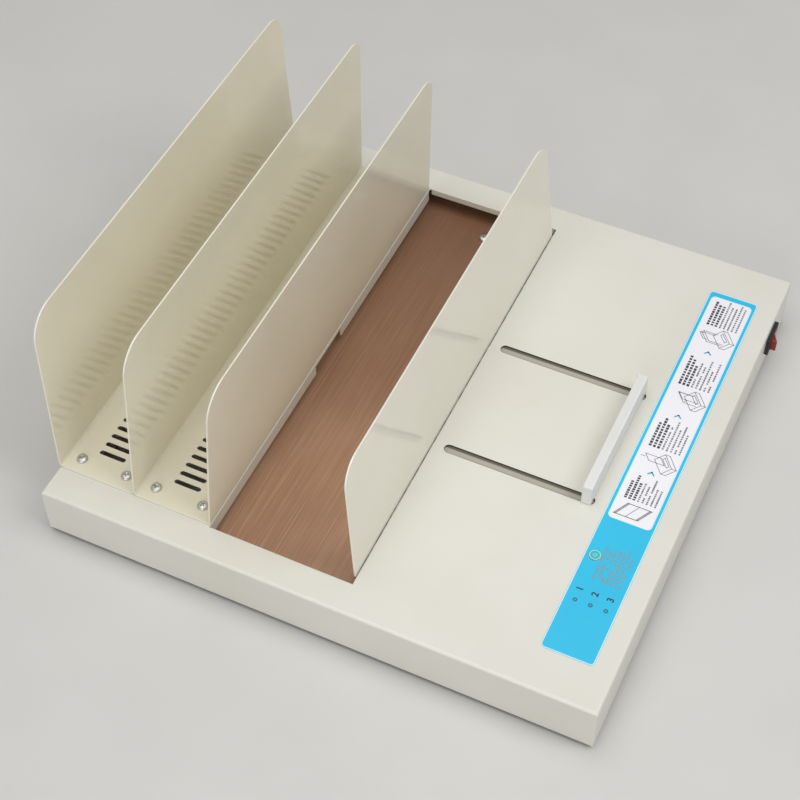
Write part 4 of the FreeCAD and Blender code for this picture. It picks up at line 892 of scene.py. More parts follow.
class Stock:
    """Closed solids gathered into one mesh."""

    def __init__(self) -> None:
        """Start with nothing."""
        self.shell = bmesh.new()

    def prism(self, outline: Sequence[Spot], low: float, high: float,
              turn: Matrix | None = None, roof: Sequence[Spot] | None = None) -> "Stock":
        """Add an upright prism over an outline that runs anticlockwise.

        Args:
            outline: its corners.
            low: the height of its foot.
            high: the height of its top.
            turn: where to move it.
            roof: the corners of its top, where they differ from those of its foot.

        Returns:
            The stock itself.
        """
        foot = [self.shell.verts.new((x, y, low)) for x, y in outline]
        head = [self.shell.verts.new((x, y, high)) for x, y in roof or outline]
        self.shell.faces.new(foot[::-1])
        self.shell.faces.new(head)
        self._join(foot, head)
        self._move(foot + head, turn)
        return self

    def ring(self, outer: Sequence[Spot], inner: Sequence[Spot], low: float,
             high: float) -> "Stock":
        """Add a flat frame between two outlines with as many corners.

        Args:
            outer: the outer corners, anticlockwise.
            inner: the inner corners, in step with them.
            low: the height of its foot.
            high: the height of its top.

        Returns:
            The stock itself.
        """
        rows = [[self.shell.verts.new((x, y, z)) for x, y in line]
                for line, z in ((outer, low), (outer, high), (inner, high), (inner, low))]
        for near, far in zip(rows, rows[1:] + rows[:1]):
            self._join(near, far)
        return self

    def lathe(self, profile: Sequence[Spot], segments: int = 32,
              turn: Matrix | None = None) -> "Stock":
        """Turn a profile about the Z axis into a closed solid.

        Args:
            profile: radius and height from the foot to the top, both ends on the axis.
            segments: the number of sides.
            turn: where to move it.

        Returns:
            The stock itself.
        """
        foot = self.shell.verts.new((0, 0, profile[0][1]))
        head = self.shell.verts.new((0, 0, profile[-1][1]))
        rows = [[self.shell.verts.new((x, y, height))
                 for x, y in round_outline(0.0, 0.0, radius, segments)]
                for radius, height in profile[1:-1]]
        for index in range(segments):
            after = (index + 1) % segments
            self.shell.faces.new((foot, rows[0][after], rows[0][index]))
            self.shell.faces.new((head, rows[-1][index], rows[-1][after]))
        for near, far in zip(rows, rows[1:]):
            self._join(near, far)
        self._move([foot, head] + [vert for row in rows for vert in row], turn)
        return self

    def tube(self, path: Sequence[Vector], radius: float, sides: int = 8) -> "Stock":
        """Add a round wire along a path.

        Args:
            path: the points that it follows.
            radius: half its width.
            sides: the number of its sides.

        Returns:
            The stock itself.
        """
        rows = []
        for index, spot in enumerate(path):
            ahead = path[min(index + 1, len(path) - 1)] - path[max(index - 1, 0)]
            frame = ahead.to_track_quat("Z", "Y").to_matrix()
            rows.append([self.shell.verts.new(spot + frame @ Vector((x, y, 0)))
                         for x, y in round_outline(0.0, 0.0, radius, sides)])
        self.shell.faces.new(rows[0][::-1])
        self.shell.faces.new(rows[-1])
        for near, far in zip(rows, rows[1:]):
            self._join(near, far)
        return self

    def take(self) -> bpy.types.Mesh:
        """Give the gathered mesh, its faces turned outwards."""
        bmesh.ops.recalc_face_normals(self.shell, faces=self.shell.faces)
        return as_mesh("stock", self.shell)

    def _join(self, near: Sequence[bmesh.types.BMVert],
              far: Sequence[bmesh.types.BMVert]) -> None:
        """Join two rings of corners by faces."""
        for index in range(len(near)):
            after = (index + 1) % len(near)
            self.shell.faces.new((near[index], near[after], far[after], far[index]))

    def _move(self, verts: Iterable[bmesh.types.BMVert], turn: Matrix | None) -> None:
        """Move some corners."""
        if turn is not None:
            for vert in verts:
                vert.co = turn @ vert.co


def rounded(low: Spot, high: Spot, radius: float, steps: int = 6) -> list[Spot]:
    """Give the outline of a rectangle with round corners.

    Args:
        low: its lowest corner.
        high: its highest corner.
        radius: the corners' radius.
        steps: the runs in each corner.

    Returns:
        The corners, anticlockwise.
    """
    centres = ((high[0] - radius, high[1] - radius), (low[0] + radius, high[1] - radius),
               (low[0] + radius, low[1] + radius), (high[0] - radius, low[1] + radius))
    return [(x + radius * math.cos(math.pi / 2 * (quarter + step / steps)),
             y + radius * math.sin(math.pi / 2 * (quarter + step / steps)))
            for quarter, (x, y) in enumerate(centres) for step in range(steps + 1)]


def round_outline(x: float, y: float, radius: float, count: int = 32) -> list[Spot]:
    """Give a circle's outline.

    Args:
        x: its middle across.
        y: its middle along.
        radius: its radius.
        count: the number of corners.

    Returns:
        The corners, anticlockwise.
    """
    return [(x + radius * math.cos(math.tau * i / count),
             y + radius * math.sin(math.tau * i / count)) for i in range(count)]


def rectangle(low: Spot, high: Spot) -> list[Spot]:
    """Give the outline of a rectangle with sharp corners, anticlockwise."""
    return [low, (high[0], low[1]), high, (low[0], high[1])]


def lay(name: str, stock: Stock, slot: Slot, *nodes: str, body: Body = Body.BASE,
        finish: Finish | None = None, smooth: bool = True) -> None:
    """Make a piece of gathered solids.

    Args:
        name: the piece's name.
        stock: its solids.
        slot: the record's slot for its finish.
        nodes: the CAD nodes that it stands for.
        body: the body that it rides on.
        finish: what it takes instead of the slot's finish.
        smooth: whether it is shaded smooth but for its sharp edges.
    """
    settle(add_piece(name, stock.take(), finish or FINISHES[slot], smooth), body, slot, *nodes)


def merged(node: str) -> bmesh.types.BMesh:
    """Copy a CAD node's triangles with their corners joined."""
    shell = bmesh.new()
    shell.from_mesh(FRAME["nodes"][node].data)
    bmesh.ops.remove_doubles(shell, verts=shell.verts, dist=TOUCHING)
    return shell


def solids(node: str) -> list[tuple[Vector, Vector]]:
    """Give the boxes of a node's separate solids.

    Args:
        node: the node's name.

    Returns:
        The lowest and highest corner of each, in a steady order.
    """
    shell = merged(node)
    boxes = []
    seen: set[int] = set()
    for start in shell.verts:
        if start.index in seen:
            continue
        front = [start]
        seen.add(start.index)
        spots = []
        while front:
            vert = front.pop()
            spots.append(vert.co.copy())
            for edge in vert.link_edges:
                other = edge.other_vert(vert)
                if other.index not in seen:
                    seen.add(other.index)
                    front.append(other)
        boxes.append((Vector(map(min, zip(*spots))), Vector(map(max, zip(*spots)))))
    shell.free()
    return sorted(boxes, key=lambda pair: tuple(round(v, 5) for v in pair[0]))


def mark_edges(mesh: bpy.types.Mesh, width: float) -> None:
    """Mark the crowns of rounded edges, for the wear and the painted highlight on them.

    Args:
        mesh: the mesh with its rounded edges.
        width: the width below which a face counts as part of a rounded edge.
    """
    marks = [1.0] * len(mesh.vertices)
    for face in mesh.polygons:
        corners = [mesh.vertices[index].co for index in face.vertices]
        round_about = sum((a - b).length for a, b in zip(corners, corners[1:] + corners[:1]))
        if face.area * 2 > width * round_about:
            for index in face.vertices:
                marks[index] = 0.0
    layer = mesh.attributes.new("edge", "FLOAT", "POINT")
    layer.data.foreach_set("value", marks)


def even_flats(mesh: bpy.types.Mesh, broad: float = 3 * MM) -> None:
    """Shade every broad flat face by its own normal, so that no long corner shows in it.

    Args:
        mesh: the softened mesh.
        broad: how wide a face is, at the least, to count as broad.
    """
    normals = [Vector(corner.vector) for corner in mesh.corner_normals]
    for face in mesh.polygons:
        spots = [mesh.vertices[index].co for index in face.vertices]
        longest = max((near - far).length for near, far in zip(spots, spots[1:] + spots[:1]))
        if face.area / longest > broad:
            for corner in face.loop_indices:
                normals[corner] = face.normal.copy()
    mesh.normals_split_custom_set(normals)


def soften(name: str, mesh: bpy.types.Mesh, finish: Finish,
           width: float = 0.25 * MM) -> bpy.types.Object:
    """Round a mesh's sharp edges and put it into the scene.

    Args:
        name: the piece's name.
        mesh: the mesh to soften.
        finish: what its surface is made of.
        width: how far the rounding reaches from each edge.

    Returns:
        The softened piece.
    """
    host = stand(name + "_sharp", mesh)
    mesh.shade_smooth()
    bevel = host.modifiers.new("round", "BEVEL")
    bevel.width = width
    bevel.segments = 2
    bevel.limit_method = "ANGLE"
    bevel.angle_limit = CREASE
    bevel.use_clamp_overlap = False
    bevel.loop_slide = False
    evener = host.modifiers.new("even", "WEIGHTED_NORMAL")
    evener.weight = 100
    soft = evaluated(host)
    even_flats(soft)
    mark_edges(soft, width * 1.1)
    soft.materials.clear()
    soft.materials.append(finish.material())
    return stand(name, soft)


def soften_node(node: str, body: Body, slot: Slot, width: float = 0.25 * MM,
                finish: Finish | None = None) -> bpy.types.Object:
    """Stand a softened copy in for a CAD node.

    Args:
        node: the node's name.
        body: the body that it rides on.
        slot: the slot whose finish it takes.
        width: how far the rounding reaches from each edge.
        finish: what it takes instead of the slot's finish.

    Returns:
        The softened piece.
    """
    shell = merged(node)
    bmesh.ops.dissolve_limit(shell, angle_limit=FLAT, verts=shell.verts, edges=shell.edges)
    return settle(soften(node + "_soft", as_mesh(node, shell), finish or FINISHES[slot], width),
                  body, slot, node)


# Geometry trees

class Patterns:
    """Geometry trees for what repeats on the machine, each built once."""

    def __init__(self) -> None:
        """Start with no tree built."""
        self.built: dict[str, bpy.types.NodeTree] = {}

    def grow(self, name: str, tree: str, seed_mesh: bpy.types.Mesh | None,
             **inputs: Any) -> bpy.types.Mesh:
        """Run a tree and keep its result as a plain mesh.

        Args:
            name: the name of the mesh.
            tree: the tree's name, which is also the name of the method that builds it.
            seed_mesh: the mesh that goes into the tree, where it takes one.
            inputs: values for its inputs, with underscores for spaces.

        Returns:
            The finished mesh.
        """
        if tree not in self.built:
            self.built[tree] = getattr(self, tree)()
        group = self.built[tree]
        host = stand(name, seed_mesh or bpy.data.meshes.new(name))
        modifier = host.modifiers.new("grow", "NODES")
        modifier.node_group = group
        sockets = {item.name: item.identifier for item in group.interface.items_tree
                   if item.item_type == "SOCKET" and item.in_out == "INPUT"}
        for key, given in inputs.items():
            modifier[sockets[key.replace("_", " ")]] = given
        return evaluated(host)

    @staticmethod
    def _finish(wiring: Wiring, geometry: Any, source: Any,
                end: bpy.types.Node) -> bpy.types.NodeTree:
        """End a tree in real mesh with its material."""
        real = wiring.add("GeometryNodeRealizeInstances", {0: geometry}).outputs[0]
        done = wiring.add("GeometryNodeSetMaterial", {"Geometry": real,
                                                      "Material": source["Material"]})
        return wiring.close(end, Geometry=done.outputs[0])

    def screws(self) -> bpy.types.NodeTree:
        """Screws on points, each driven home at its own angle."""
        wiring, source, end = open_group("screws", "Geometry", {
            "Seats": "Geometry", "Screw": "Object", "Lean": (0.0, 0.0, 0.0), "Seed": 1,
            "Material": "Material"}, "Geometry")
        model = wiring.add("GeometryNodeObjectInfo", {"Object": source["Screw"]})
        angle = wiring.chance(0.0, math.tau, Seed=source["Seed"])
        around = wiring.add("FunctionNodeAxisAngleToRotation", {
            "Axis": (0.0, 0.0, 1.0), "Angle": angle})
        lean = wiring.add("FunctionNodeEulerToRotation", {0: source["Lean"]})
        turned = wiring.add("FunctionNodeRotateRotation", {
            "Rotation": lean.outputs[0], "Rotate By": around.outputs[0]},
            rotation_space="LOCAL")
        placed = wiring.copies(source["Seats"], model.outputs["Geometry"],
                               Rotation=turned.outputs[0])
        return self._finish(wiring, placed, source, end)

    def printed_rows(self) -> bpy.types.NodeTree:
        """Rows of small printed marks with gaps and ragged ends, along Y."""
        wiring, source, end = open_group("printed_rows", "Geometry", {
            "Rows": 5, "Row Pitch": 3 * MM, "Row Length": 24 * MM, "Marks": 12,
            "Mark Width": 1 * MM, "Fill": 0.8, "Ink": 0.03 * MM, "Shade": 0.8,
            "Corner": (0.0, 0.0, 0.0), "Seed": 1, "Material": "Material"}, "Geometry")
        seed = source["Seed"]
        step = wiring.work("DIVIDE", source["Row Length"], source["Marks"])
        rows = wiring.row(source["Rows"], wiring.vector(x=source["Row Pitch"]))
        marks = wiring.row(source["Marks"], wiring.vector(y=step))
        spots = wiring.add("GeometryNodeRealizeInstances", {0: wiring.copies(rows, marks)})
        place = wiring.parts(wiring.add("GeometryNodeInputPosition").outputs[0])
        row = wiring.work("ROUND", wiring.work("DIVIDE", place["X"], source["Row Pitch"]))
        ragged = wiring.chance(0.62, 1.0, ID=row, Seed=seed)
        reach = wiring.work("MULTIPLY", ragged, source["Row Length"])
        past = wiring.work("GREATER_THAN", place["Y"], reach)
        gap = wiring.work("GREATER_THAN", wiring.chance(0.0, 1.0, Seed=seed), source["Fill"])
        left = wiring.add("GeometryNodeDeleteGeometry", {
            "Geometry": spots.outputs[0], "Selection": wiring.work("MAXIMUM", past, gap)})
        longest = wiring.work("MULTIPLY", step, source["Shade"])
        length = wiring.work("MULTIPLY", longest, wiring.chance(0.55, 1.0, Seed=seed))
        block = wiring.add("GeometryNodeMeshCube", {"Size": (1.0, 1.0, 1.0)})
        printed = wiring.copies(left.outputs[0], block.outputs[0], Scale=wiring.vector(
            source["Mark Width"], length, source["Ink"]))
        moved = wiring.add("GeometryNodeTransform", {
            "Geometry": printed, "Translation": source["Corner"]})
        return self._finish(wiring, moved.outputs[0], source, end)

    def winding(self) -> bpy.types.NodeTree:
        """Turns of wire side by side along Y, round a rectangular core."""
        wiring, source, end = open_group("winding", "Geometry", {
            "Turns": 20, "Wire Width": 0.8 * MM, "Coil Width": 20 * MM,
            "Coil Height": 20 * MM, "Corner": 2 * MM, "Start": (0.0, 0.0, 0.0),
            "Material": "Material"}, "Geometry")
        loop = wiring.add("GeometryNodeCurvePrimitiveQuadrilateral", {
            "Width": source["Coil Width"], "Height": source["Coil Height"]})
        bent = wiring.add("GeometryNodeFilletCurve", {
            "Curve": loop.outputs[0], "Radius": source["Corner"], "Count": 3}, mode="POLY")
        upright = wiring.add("GeometryNodeTransform", {
            "Geometry": bent.outputs[0], "Rotation": (math.pi / 2, 0.0, 0.0)})
        row = wiring.row(source["Turns"], wiring.vector(y=source["Wire Width"]),
                         source["Start"])
        real = wiring.add("GeometryNodeRealizeInstances", {
            0: wiring.copies(row, upright.outputs[0])})
        section = wiring.add("GeometryNodeCurvePrimitiveCircle", {
            "Resolution": 6, "Radius": wiring.work("MULTIPLY", source["Wire Width"], 0.5)})
        wire = wiring.add("GeometryNodeCurveToMesh", {
            "Curve": real.outputs[0], "Profile Curve": section.outputs[0]})
        return self._finish(wiring, wire.outputs[0], source, end)

    def slabs(self) -> bpy.types.NodeTree:
        """Equal thin slabs in a row, such as laminations, tracks or ribs."""
        wiring, source, end = open_group("slabs", "Geometry", {
            "Slabs": 10, "Step": (0.0, 0.0, 1 * MM), "Slab Size": (1 * MM, 1 * MM, 1 * MM),
            "Shuffle": (0.0, 0.0, 0.0), "Start": (0.0, 0.0, 0.0), "Seed": 1,
            "Material": "Material"}, "Geometry")
        row = wiring.row(source["Slabs"], source["Step"], source["Start"])
        nudge = wiring.add("FunctionNodeRandomValue", {
            "Min": (-1.0, -1.0, -1.0), "Max": (1.0, 1.0, 1.0), "Seed": source["Seed"]},
            data_type="FLOAT_VECTOR")
        offset = wiring.add("ShaderNodeVectorMath", {
            0: nudge.outputs[0], 1: source["Shuffle"]}, operation="MULTIPLY")
        moved = wiring.add("GeometryNodeSetPosition", {
            "Geometry": row, "Offset": offset.outputs[0]})
        block = wiring.add("GeometryNodeMeshCube", {"Size": (1.0, 1.0, 1.0)})
        laid = wiring.copies(moved.outputs[0], block.outputs[0], Scale=source["Slab Size"])
        return self._finish(wiring, laid, source, end)

    def crown(self) -> bpy.types.NodeTree:
        """Small upright pegs round a circle, such as the ribs of a foot."""
        wiring, source, end = open_group("crown", "Geometry", {
            "Pegs": 16, "Ring Radius": 5 * MM, "Peg Width": 1 * MM, "Peg Height": 1 * MM,
            "Middle": (0.0, 0.0, 0.0), "Material": "Material"}, "Geometry")
        ring = wiring.add("GeometryNodeMeshCircle", {
            "Vertices": source["Pegs"], "Radius": source["Ring Radius"]})
        peg = wiring.add("GeometryNodeMeshCylinder", {
            "Vertices": 8, "Radius": wiring.work("MULTIPLY", source["Peg Width"], 0.5),
            "Depth": source["Peg Height"]})
        moved = wiring.add("GeometryNodeTransform", {
            "Geometry": wiring.copies(ring.outputs[0], peg.outputs["Mesh"]),
            "Translation": source["Middle"]})
        return self._finish(wiring, moved.outputs[0], source, end)


PATTERNS = Patterns()


# Fasteners

@dataclass
class ScrewSet:
    """Pan-head screws with a cross recess that stand for one group of CAD screws.

    Args:
        node: the CAD group.
        body: the body that they ride on.
        head: the head's width.
        rise: the head's height.
        shank: the thread's width.
        facing: which way the heads look.
        seed: picks the angles that they were left at.
    """

    node: str
    body: Body = Body.BASE
    head: float = 8 * MM
    rise: float = 2.4 * MM
    shank: float = 4 * MM
    facing: Facing = Facing.UP
    seed: int = 3

    def model(self, length: float) -> bpy.types.Mesh:
        """Make one screw, its seat at the origin and its head up.

        Args:
            length: the length under the head.

        Returns:
            The screw's mesh.
        """
        half, rise, core = self.head / 2, self.rise, self.shank / 2
        turns = max(3, int(length / (0.7 * MM)))
        thread: list[Spot] = [(0.0, -length), (core * 0.75, -length)]
        for index in range(turns):
            foot = -length + length * index / turns
            thread += [(core * 0.84, foot + length * 0.1 / turns),
                       (core, foot + length * 0.55 / turns)]
        dome = [(core * 0.84, 0.0), (half * 0.97, 0.0), (half, rise * 0.12),
                (half * 0.99, rise * 0.35), (half * 0.9, rise * 0.66),
                (half * 0.72, rise * 0.87), (half * 0.5, rise * 0.965), (0.0, rise)]
        head = stand("screw", Stock().lathe(thread + dome, 20).take())
        recess = self.recess()
        cutter = head.modifiers.new("cross", "BOOLEAN")
        cutter.operation = "DIFFERENCE"
        cutter.solver = "EXACT"
        cutter.object = recess
        mesh = evaluated(head)
        bpy.data.objects.remove(recess)
        return mesh

    def recess(self) -> bpy.types.Object:
        """Make the tapered cross that is taken out of the head."""
        def cross(share: float) -> list[Spot]:
            """Give the outline of the cross at one depth."""
            a, b = self.head * 0.26 * share, self.head * 0.055 * (0.6 + 0.4 * share)
            return [(a, -b), (a, b), (b, b), (b, a), (-b, a), (-b, b), (-a, b), (-a, -b),
                    (-b, -b), (-b, -a), (b, -a), (b, -b)]

        return stand("cross_recess", Stock().prism(
            cross(0.45), self.rise * 0.42, self.rise * 1.3, roof=cross(1.25)).take())

    def build(self) -> None:
        """Set the screws in their seats."""
        seats = []
        length = 0.0
        for low, high in solids(self.node):
            seat = (low + high) / 2
            if self.facing is Facing.REAR:
                seat.y = high.y - self.rise
                length = high.y - low.y - self.rise
            else:
                seat.z = high.z - self.rise if self.facing is Facing.UP else low.z + self.rise
                length = high.z - low.z - self.rise
            seats.append(seat)
        model = stand("screw_model", self.model(length))
        points = bpy.data.meshes.new("seats")
        points.from_pydata(seats, [], [])
        finish = FINISHES[Slot.SCREW_STEEL]
        mesh = PATTERNS.grow(self.node, "screws", points, Screw=model, Lean=self.facing.value,
                             Seed=self.seed, Material=finish.material())
        bpy.data.objects.remove(model)
        piece = add_piece(self.node + "_driven", mesh, finish)
        settle(piece, self.body, Slot.SCREW_STEEL, self.node)


SMALL = {"head": 5.6 * MM, "rise": 1.8 * MM, "shank": 3 * MM}


# Sub-assemblies

@dataclass
class Casing:
    """The sheet-metal casing with its bottom plate, brackets and feet.

    Args:
        fold: how far the rounding of the painted edges reaches.
        ribs: the ribs round each foot.
        rib_width: the width of one rib.
        guide_low: where a guide slot starts, with its near side for the rear slot.
        guide_high: where it ends, with its far side.
        guide_lining: how far the dark cut edge of a guide slot, painted shade inside the slot,
            is in view.
        lining_drop: how far below the panel that dark edge starts.
        lining_depth: how far below the panel it ends.
    """

    fold: float = 0.28 * MM
    ribs: int = 20
    rib_width: float = 0.9 * MM
    guide_low: Spot = (30.5 * MM, 45.8 * MM)
    guide_high: Spot = (140.5 * MM, 52.8 * MM)
    guide_lining: float = 0.12 * MM
    lining_drop: float = 0.06 * MM
    lining_depth: float = 1.25 * MM

    def build(self) -> None:
        """Dress the casing and stand it on its feet."""
        soften_node("top_cover", Body.BASE, Slot.SHEET_PAINT, self.fold)
        soften_node("bottom_plate", Body.BASE, Slot.ZINC_SHEET, 0.2 * MM)
        self.slot_edges()
        dress("casing_brackets", Slot.ZINC_SHEET)
        for node in ("foot_front_left", "foot_front_right", "foot_rear_left",
                     "foot_rear_right"):
            self.foot(node)
        ScrewSet("casing_screws", **SMALL, facing=Facing.DOWN, seed=5).build()
        ScrewSet("foot_screws", **SMALL, facing=Facing.DOWN, seed=7).build()

    def slot_edges(self) -> None:
        """Line the two guide slots with the sheet's cut edge, darkened as painted shade inside
        the slots.
        """
        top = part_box("top_cover")[1].z
        (left, near), (right, far) = self.guide_low, self.guide_high
        radius = (far - near) / 2
        inset = self.guide_lining
        lining = Stock()
        for low, high in ((near, far), (-far, -near)):
            lining.ring(rounded((left, low), (right, high), radius),
                        rounded((left + inset, low + inset), (right - inset, high - inset),
                                radius - inset),
                        top - self.lining_depth, top - self.lining_drop)
        # dark lining: painted shade inside the guide slots
        lay("guide_slot_edges", lining, Slot.SHEET_PAINT, finish=SHADED_CUT_EDGE)

    def foot(self, node: str) -> None:
        """Ring one foot's softened block with grip ribs.

        Args:
            node: the foot's CAD node.
        """
        soften_node(node, Body.BASE, Slot.RUBBER, 0.5 * MM)
        low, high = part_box(node)
        middle = (low + high) / 2
        finish = FINISHES[Slot.RUBBER]
        mesh = PATTERNS.grow(node + "_ribs", "crown", None, Pegs=self.ribs,
                             Ring_Radius=(high.x - low.x) / 2 - 0.9 * MM,
                             Peg_Width=self.rib_width, Peg_Height=high.z * 0.5,
                             Middle=(middle.x, middle.y, high.z * 0.62),
                             Material=finish.material())
        settle(add_piece(node + "_ribs", mesh, finish), Body.BASE, Slot.RUBBER)


@dataclass
class CoolingRacks:
    """The two folded racks in which bound documents cool, and their fasteners.

    Args:
        fold: how far the rounding of the sheet's edges reaches.
    """

    fold: float = 0.3 * MM

    def build(self) -> None:
        """Dress the racks and drive their screws."""
        soften_node("rack_left", Body.BASE, Slot.PLATE_PAINT, self.fold)
        soften_node("rack_middle", Body.BASE, Slot.PLATE_PAINT, self.fold)
        ScrewSet("rack_screws", seed=11).build()
        soften_node("rack_nuts", Body.BASE, Slot.SCREW_STEEL, 0.3 * MM)


@dataclass
class HeatingBed:
    """The heated bed of the trough, from its cloth down to its posts.

    Args:
        cloth_round: how far the rounding of the cloth's edges reaches.
        platen_round: how far the rounding of the platen's edges reaches.
    """

    cloth_round: float = 0.12 * MM
    platen_round: float = 0.3 * MM

    def build(self) -> None:
        """Dress the bed from the top down."""
        soften_node("platen_cloth", Body.BASE, Slot.BROWN_CLOTH, self.cloth_round)
        soften_node("heating_platen", Body.BASE, Slot.PLATEN_ALUMINIUM, self.platen_round)
        dress("heater_element", Slot.HEATER_FOIL)
        dress("heater_press_plate", Slot.PLATEN_ALUMINIUM)
        dress("insulation_board", Slot.INSULATION)
        dress("heat_tray", Slot.ZINC_SHEET)
        dress("platen_posts", Slot.CERAMIC)
        dress("tray_stands", Slot.NATURAL_NYLON)
        ScrewSet("platen_screws", seed=2).build()
        ScrewSet("post_screws", facing=Facing.DOWN, seed=4).build()
        self.guards()

    def guards(self) -> None:
        """Add the thermostat's cap and tabs, and the thermal fuse's leads."""
        low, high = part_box("thermostat")
        middle = middle_of("thermostat")
        radius, top = (high.x - low.x) / 2, high.z
        turn = Matrix.Translation((middle.x, middle.y, 0))
        shoulder = top - 2.9 * MM
        lay("thermostat_case", Stock().lathe([
            (0.0, low.z), (radius * 0.86, low.z), (radius * 0.86, top - 3 * MM),
            (radius * 0.82, shoulder), (0.0, shoulder)], 40, turn),
            Slot.BLACK_PLASTIC, "thermostat")
        lay("thermostat_cap", Stock().lathe([
            (0.0, top - 3.4 * MM), (radius * 0.9, top - 3.4 * MM), (radius, top - 3.0 * MM),
            (radius, top - 0.6 * MM), (radius * 0.96, top - 0.1 * MM), (radius * 0.9, top),
            (0.0, top)], 40, turn), Slot.PLATEN_ALUMINIUM)
        tabs = Stock()
        for side in (-1, 1):
            x = middle.x + side * radius * 0.55
            tabs.prism(rectangle((x - 2.4 * MM, middle.y - 0.4 * MM),
                                 (x + 2.4 * MM, middle.y + 0.4 * MM)),
                       low.z - 1 * MM, low.z + 0.5 * MM)
        lay("thermostat_tabs", tabs, Slot.CONTACT_BRASS)
        low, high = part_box("thermal_fuse")
        middle = middle_of("thermal_fuse")
        radius, span = (high.z - low.z) / 2, high.x - low.x
        turn = Matrix.Translation((low.x, middle.y, middle.z)) @ Matrix.Rotation(
            math.pi / 2, 4, "Y")
        lay("thermal_fuse_case", Stock().lathe([
            (0.0, 0.0), (radius * 0.5, 0.0), (radius * 0.92, span * 0.05),
            (radius, span * 0.1), (radius, span * 0.8), (radius * 0.9, span * 0.82),
            (radius * 0.45, span), (0.0, span)], 28, turn), Slot.SCREW_STEEL, "thermal_fuse")
        leads = Stock()
        for start, side in ((low.x, -1), (high.x, 1)):
            leads.tube([Vector((start + side * out * MM, middle.y + aside * MM, middle.z))
                        for out, aside in ((-0.5, 0), (6, 0), (8, 1), (9, 3))], 0.5 * MM)
        lay("thermal_fuse_leads", leads, Slot.CONTACT_BRASS)


@dataclass
class SlidingClamp:
    """The clamp plate with its handle, bushes, screws and rails.

    Args:
        fold: how far the rounding of the sheet's edges reaches.
        grip_round: how far the rounding of the handle reaches.
    """

    fold: float = 0.3 * MM
    grip_round: float = 0.2 * MM

    def build(self) -> None:
        """Dress the clamp and the rails that it slides in."""
        soften_node("clamp_plate", Body.CLAMP, Slot.PLATE_PAINT, self.fold, CLAMP_PAINT)
        soften_node("clamp_handle", Body.CLAMP, Slot.WHITE_PLASTIC, self.grip_round)
        dress("guide_bushes", Slot.NATURAL_NYLON)
        ScrewSet("handle_screws", Body.CLAMP, facing=Facing.DOWN, seed=9).build()
        for node in ("rail_front", "rail_rear"):
            dress(node, Slot.ZINC_SHEET)


class StepPicture(Enum):
    """The four steps that the panel's small pictures show."""

    PAGES = 1
    LOAD = 2
    PRESS = 3
    COOL = 4


@dataclass(frozen=True)
class StepLayout:
    """Where one step stands on the film, along Y.

    Args:
        picture: what it shows.
        drawn: the middle of its picture.
        written: the middle of its rows of marks.
        length: the length of those rows.
    """

    picture: StepPicture
    drawn: float
    written: float
    length: float


@dataclass(frozen=True)
class MarkStyle:
    """How rows of small marks are printed.

    Args:
        rows: the number of rows.
        marks: the marks in the longest row.
        width: the width of a mark.
        fill: the share of marks that are there.
        shade: the share of its step that the longest mark covers.
        across: how far the first row lies from the film's left edge.
        finish: the ink.
    """

    rows: int
    marks: int
    width: float
    fill: float
    shade: float
    across: float
    finish: Finish


HEADING = MarkStyle(3, 11, 1.9 * MM, 0.97, 0.95, 8.5 * MM, DARK_INK)
TEXT = MarkStyle(5, 13, 1.2 * MM, 0.95, 0.94, 17.5 * MM, GREY_INK)
FAINT = MarkStyle(7, 12, 2.0 * MM, 0.85, 0.86, 12.5 * MM, FADED_INK)


